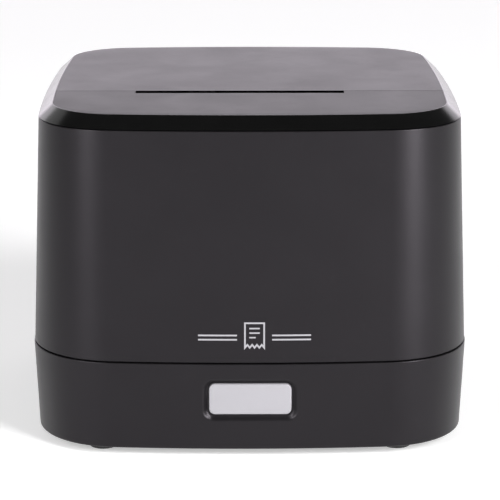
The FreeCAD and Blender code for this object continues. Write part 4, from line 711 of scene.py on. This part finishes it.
def cut_port_window(base):
    """The wide window at the rear, its edge rounded, through the frame behind it."""
    border = 2.0
    frame_loop = rounded_loop(PORT["half_across"] + border, PORT["half_up"] + border, border / 2)
    carve(base, stack("tool", [plane_loop("rear", PORT["centre"], frame_loop, reach)
                               for reach in PORT_FRAME]), "UNION")
    loops = lip_loops("rear", base_draft, PORT, rounding=0.4)
    loops.append(plane_loop("rear", PORT["centre"], grown(PORT, 0.0), PORT_FRAME[0] - 1.0))
    carve(base, stack("tool", backwards(loops)))


def make_base():
    """The tray under the printer: walls, bosses, button recess, rear window and underside."""
    flat_from = 6.0
    floor = case_low.z + BASE_FLOOR
    profile = rounded([(flat_from, case_low.z, 0.0), (BASE_INSET, case_low.z, 1.0),
                       (0.0, case_high.z, 0.35), (BASE_WALL, case_high.z, 0.3), (BASE_WALL, floor, 0.8),
                       (flat_from + 0.5, floor, 0.0)], closed=False)
    ring = ring_columns()
    base = stack("base_skin", [plan_loop(ring, inset, level) for inset, level in profile])
    foot_low, foot_high = cad_box("foot_rear_right")
    foot_x = (foot_low.x + foot_high.x) / 2
    foot_y = (foot_low.y + foot_high.y) / 2
    foot_hole = (foot_high.x - foot_low.x) / 2 + CLEARANCE
    boss = 5.0
    screw_hole = 3.2
    screw_seat = cad_box("case_screws")[0].z + 2.0
    for sign_x in (-1, 1):
        for sign_y in (-1, 1):
            corner = (sign_x * BOSS_X, sign_y * BOSS_Y)
            carve(base, disc(corner, boss, floor - 1.5, case_high.z - CLEARANCE), "UNION")
            carve(base, disc(corner, screw_hole, 0.0, screw_seat))
            carve(base, disc((sign_x * foot_x, sign_y * foot_y), foot_hole, 0.0, foot_high.z))
    label_low, label_high = cad_box("rating_plate")
    carve(base, block((label_low.x - CLEARANCE, label_low.y - CLEARANCE, 0.0),
                      (label_high.x + CLEARANCE, label_high.y + CLEARANCE, label_high.z)))
    cut_port_window(base)
    cut_button_recess(base)
    true_normals(base, -math.atan2(BASE_INSET, case_high.z - case_low.z))
    finish_piece(base, "case_plastic", "printer", "base_case")


def cut_release_hole(shell):
    """The hole for the release button in the right-hand wall, its edge rounded."""
    hole = dict(RELEASE, half_across=RELEASE["half_across"] + BUTTON_GAP,
                half_up=RELEASE["half_up"] + BUTTON_GAP, radius=RELEASE["radius"] + BUTTON_GAP)
    loops = lip_loops("right", shell_draft, hole, rounding=0.35)
    hole_back = RELEASE_FLANGE[0] - 4.0
    loops.append(plane_loop("right", RELEASE["centre"], grown(hole, 0.0), hole_back))
    carve(shell, stack("tool", backwards(loops)))


def make_shell():
    """The tall outer wall, with its rear hinge notches and knuckles and the release button's hole."""
    profile = rounded([(SHELL_LIP, shell_low.z, 0.3), (RIM_INSET, shell_high.z, 0.35),
                       (RIM_INSET + WALL, shell_high.z, 0.2), (SHELL_LIP + WALL, shell_low.z, 0.2)],
                      closed=True)
    ring = ring_columns()
    shell = stack("shell_skin", [plan_loop(ring, inset, level) for inset, level in profile], closed=True)
    notch_bottom = HINGE_Z - 3.3
    notch_front = HINGE_Y - 6.0
    above = shell_high.z + 1.0
    knuckle = hinge_arc(0.0, 2.0 * math.pi, 48)[:-1]
    boss = 4.9
    boss_height = 15.0
    for sign in (-1, 1):
        low, high = sorted((sign * KNUCKLES[0][1], sign * KNUCKLES[1][0]))
        carve(shell, block((low, notch_front, notch_bottom), (high, HALF_DEPTH, above)))
        for start, end in KNUCKLES:
            carve(shell, crossbar(knuckle, sign * start, sign * end), "UNION")
        for sign_y in (-1, 1):
            corner = (sign * BOSS_X, sign_y * BOSS_Y)
            carve(shell, disc(corner, boss, shell_low.z + CLEARANCE, shell_low.z + boss_height), "UNION")
    cut_release_hole(shell)
    true_normals(shell, math.atan2(RIM_INSET - SHELL_LIP, shell_high.z - shell_low.z))
    finish_piece(shell, "case_plastic", "printer", "body_shell")


# ---------------------------------------------------------------- top

def top_part(name, profile, seam, behind):
    """A solid part of the top behind or ahead of the seam, from its rounded edge profile."""
    ring = part_ring(seam, behind)
    return stack(name, [plan_loop(ring, inset, level) for inset, level in profile])


def rim_profile():
    """The gloss rim's edge: up the chamfer, over its top edge and down into the panel's recess."""
    return rounded([(RIM_INSET, RIM_BOTTOM, 0.2), (TOP_INSET, rim_high.z, 0.12),
                    (PANEL_RECESS, rim_high.z, 0.08), (PANEL_RECESS, rim_high.z - PANEL_DEPTH, 0.0)],
                   closed=False)


def panel_profile():
    """The matte panel's edge, with its upper edge a little rounded."""
    return rounded([(PANEL_INSET, rim_high.z - PANEL_DEPTH, 0.0), (PANEL_INSET, rim_high.z, 0.15),
                    (PANEL_INSET + 4.0, rim_high.z, 0.0)], closed=False)


def make_front_deck():
    """The fixed front strip of the top: its gloss rim with the paper slot, and its matte panel."""
    above = rim_high.z + 1.0
    below = RIM_BOTTOM - 1.0
    deck = top_part("deck_skin", rim_profile(), SEAM - HALF_SEAM, behind=False)
    carve(deck, block((SLOT[0], LEDGE_FRONT, LEDGE_LEVEL), (SLOT[1], SEAM, above)))
    carve(deck, block((SLOT[0], SLOT_FRONT, below), (SLOT[1], SEAM, above)))
    clip_half = 6.0
    clip_front = -74.0
    clip_back = -72.0
    clip_low = RIM_BOTTOM - 6.2
    clip_high = RIM_BOTTOM + 0.5
    for middle in (-1, 0, 1):
        place = middle * case_high.x / 2
        clip = block((place - clip_half, clip_front, clip_low), (place + clip_half, clip_back, clip_high))
        carve(deck, clip, "UNION")
    finish_piece(deck, "gloss_plastic", "printer", "front_deck")
    panel = top_part("deck_panel_skin", panel_profile(), SEAM - HALF_SEAM, behind=False)
    carve(panel, block((SLOT[0], LEDGE_FRONT, RIM_BOTTOM), (SLOT[1], SEAM, above)))
    # The front panel takes the darker copy of the panel finish: painted shade.
    finish_piece(panel, "matte_top", "printer", "deck_panel", finish="matte_deck_painted_shade")


def make_lid():
    """The opening rear part of the top, with its two hinge arms and the matte panel let into it."""
    lid = top_part("lid_skin", rim_profile(), SEAM + HALF_SEAM, behind=True)
    hollow = 22.0
    carve(lid, block((hollow - case_high.x, SEAM + WALL, RIM_BOTTOM - 1.0),
                     (case_high.x - hollow, case_high.y - hollow, RIM_BOTTOM + RIM_WALL)))
    arm_top = rim_high.z - RIM_WALL
    shoulder = (HINGE_Y + KNUCKLE, HINGE_Z + 1.4)
    neck = (HINGE_Y - 1.2, arm_top)
    arm = hinge_arc(math.pi, 2.0 * math.pi, 24) + [shoulder, neck, (HINGE_Y - KNUCKLE, arm_top)]
    for sign in (-1, 1):
        carve(lid, crossbar(arm, sign * LID_KNUCKLE[0], sign * LID_KNUCKLE[1]), "UNION")
    finish_piece(lid, "gloss_plastic", "lid", "lid")
    panel = top_part("lid_panel_skin", panel_profile(), SEAM + HALF_SEAM, behind=True)
    finish_piece(panel, "matte_top", "lid", "lid_panel")


# ---------------------------------------------------------------- buttons and badge

def key_loops(side, place, depths):
    """Loops of a push button on its side, from (grow, reach from the case's middle) pairs."""
    return [plane_loop(side, place["centre"], grown(place, grow), reach) for grow, reach in depths]


def rounded_end(face, rounding):
    """The last (grow, reach) pairs of a button: its edge rounded over, and a face with a faint crown."""
    crown = 0.06
    crown_from = rounding + 2.7
    crown_rise = rounding + 1.1
    pairs = [(-rounding * (1.0 - math.cos(turn)), face - crown - rounding * (1.0 - math.sin(turn)))
             for turn in spread(0.0, math.pi / 2, 6)]
    return pairs + [(-crown_rise, face - crown / 3), (-crown_from, face)]


def make_feed_button():
    """The pale feed button, with its flange inside the wall and its stem."""
    low, high = cad_box("feed_button")
    face = -low.y
    root = face - 4.2
    flange = 1.4
    flange_back = root - 1.0
    depths = [(flange, flange_back), (flange, root), (0.0, root)] + rounded_end(face, rounding=0.5)
    cap = solid(key_loops("front", BUTTON, depths))
    stem = {"half_across": 1.5, "half_up": 1.5, "radius": 1.49, "centre": BUTTON["centre"]}
    plunger = solid(key_loops("front", stem, [(0.0, -high.y), (0.0, flange_back + CLEARANCE)]))
    finish_piece(loose_object("feed_key_cap", [cap, plunger]), "pale_button", "feed_key", "feed_button")


def make_release_button():
    """The release button in the right-hand wall: cap, flange and the wedge that turns the latch."""
    low, high = cad_box("release_button")
    flange = 2.0
    flange_back, flange_front = RELEASE_FLANGE
    depths = [(flange, flange_back), (flange, flange_front), (0.0, flange_front)]
    depths += rounded_end(high.x, rounding=0.4)
    cap = solid(key_loops("right", RELEASE, depths))
    wedge_end = flange_back + CLEARANCE
    wedge_front = -14.805
    wedge_back = -6.995
    slope = [(61.0, wedge_back), (low.x, -12.805)]
    wedge = [(low.x, wedge_front), (wedge_end, wedge_front), (wedge_end, wedge_back), *slope]
    stem = solid([[(x, y, level) for x, y in wedge] for level in (98.5, 103.5)])
    finish_piece(loose_object("release_cap", [cap, stem]), "case_plastic", "release", "release_button")


def divided(path, longest=3.0):
    """A path with points added so that no run is longer than a set length, to follow a bowed wall."""
    result = [path[0]]
    for start, end in zip(path, path[1:]):
        steps = max(1, math.ceil(math.dist(start, end) / longest))
        for share in spread(0.0, 1.0, steps)[1:]:
            result.append((start[0] + (end[0] - start[0]) * share, start[1] + (end[1] - start[1]) * share))
    return result


def stroke(path, width):
    """A raised line of print on the tall front wall, along a path of (across, up) points. A path that
    ends where it starts makes a ring."""
    closed = path[0] == path[-1]
    points = [Vector(point) for point in divided(path)]
    if closed:
        points.pop()
    count = len(points)
    loops = []
    for index, point in enumerate(points):
        ways = []
        if closed or index:
            ways.append((point - points[index - 1]).normalized())
        if closed or index < count - 1:
            ways.append((points[(index + 1) % count] - point).normalized())
        lefts = [Vector((-way.y, way.x)) for way in ways]
        left = lefts[0]
        if len(lefts) == 2:
            left = (lefts[0] + lefts[1]) / (1.0 + lefts[0].dot(lefts[1]))
        loop = []
        for shift, depth in ((-1, -BADGE_RAISED), (-1, BADGE_SUNK), (1, BADGE_SUNK), (1, -BADGE_RAISED)):
            edge = point + left * shift * width / 2
            across = BADGE_CENTRE[0] + edge.x
            level = BADGE_CENTRE[1] + edge.y
            loop.append(on_wall("front", shell_draft, across, level, depth))
        loops.append(loop)
    return solid(loops, closed)


def make_badge():
    """A plain printed badge on the front: a torn-off receipt in outline, with a rule on each side."""
    half = 3.5
    top = 4.6
    teeth = 4
    tooth = 1.1
    line = 0.6
    fine_line = 0.55
    text_start = -1.9
    rule = (6.4, 20.6)
    torn = [(-half + step * half / teeth, -top + tooth * (step % 2)) for step in range(2 * teeth + 1)]
    lines = [stroke([(half, top), (-half, top), *torn, (half, top)], line)]
    for up, end in ((2.6, 1.9), (0.9, 1.9), (-0.8, 0.4)):
        lines.append(stroke([(text_start, up), (end, up)], fine_line))
    for sign in (-1, 1):
        low, high = sorted((sign * rule[0], sign * rule[1]))
        for up in (0.0, -1.6):
            lines.append(stroke([(low, up), (high, up)], line))
    finish_piece(loose_object("front_badge", lines), "pale_button", "printer")


# ---------------------------------------------------------------- the whole


materials = {**plastics(), **metals_and_boards()}
paint_nodes()
make_base()
make_shell()
make_front_deck()
make_lid()
make_feed_button()
make_release_button()
make_badge()
make_studio()
make_camera()
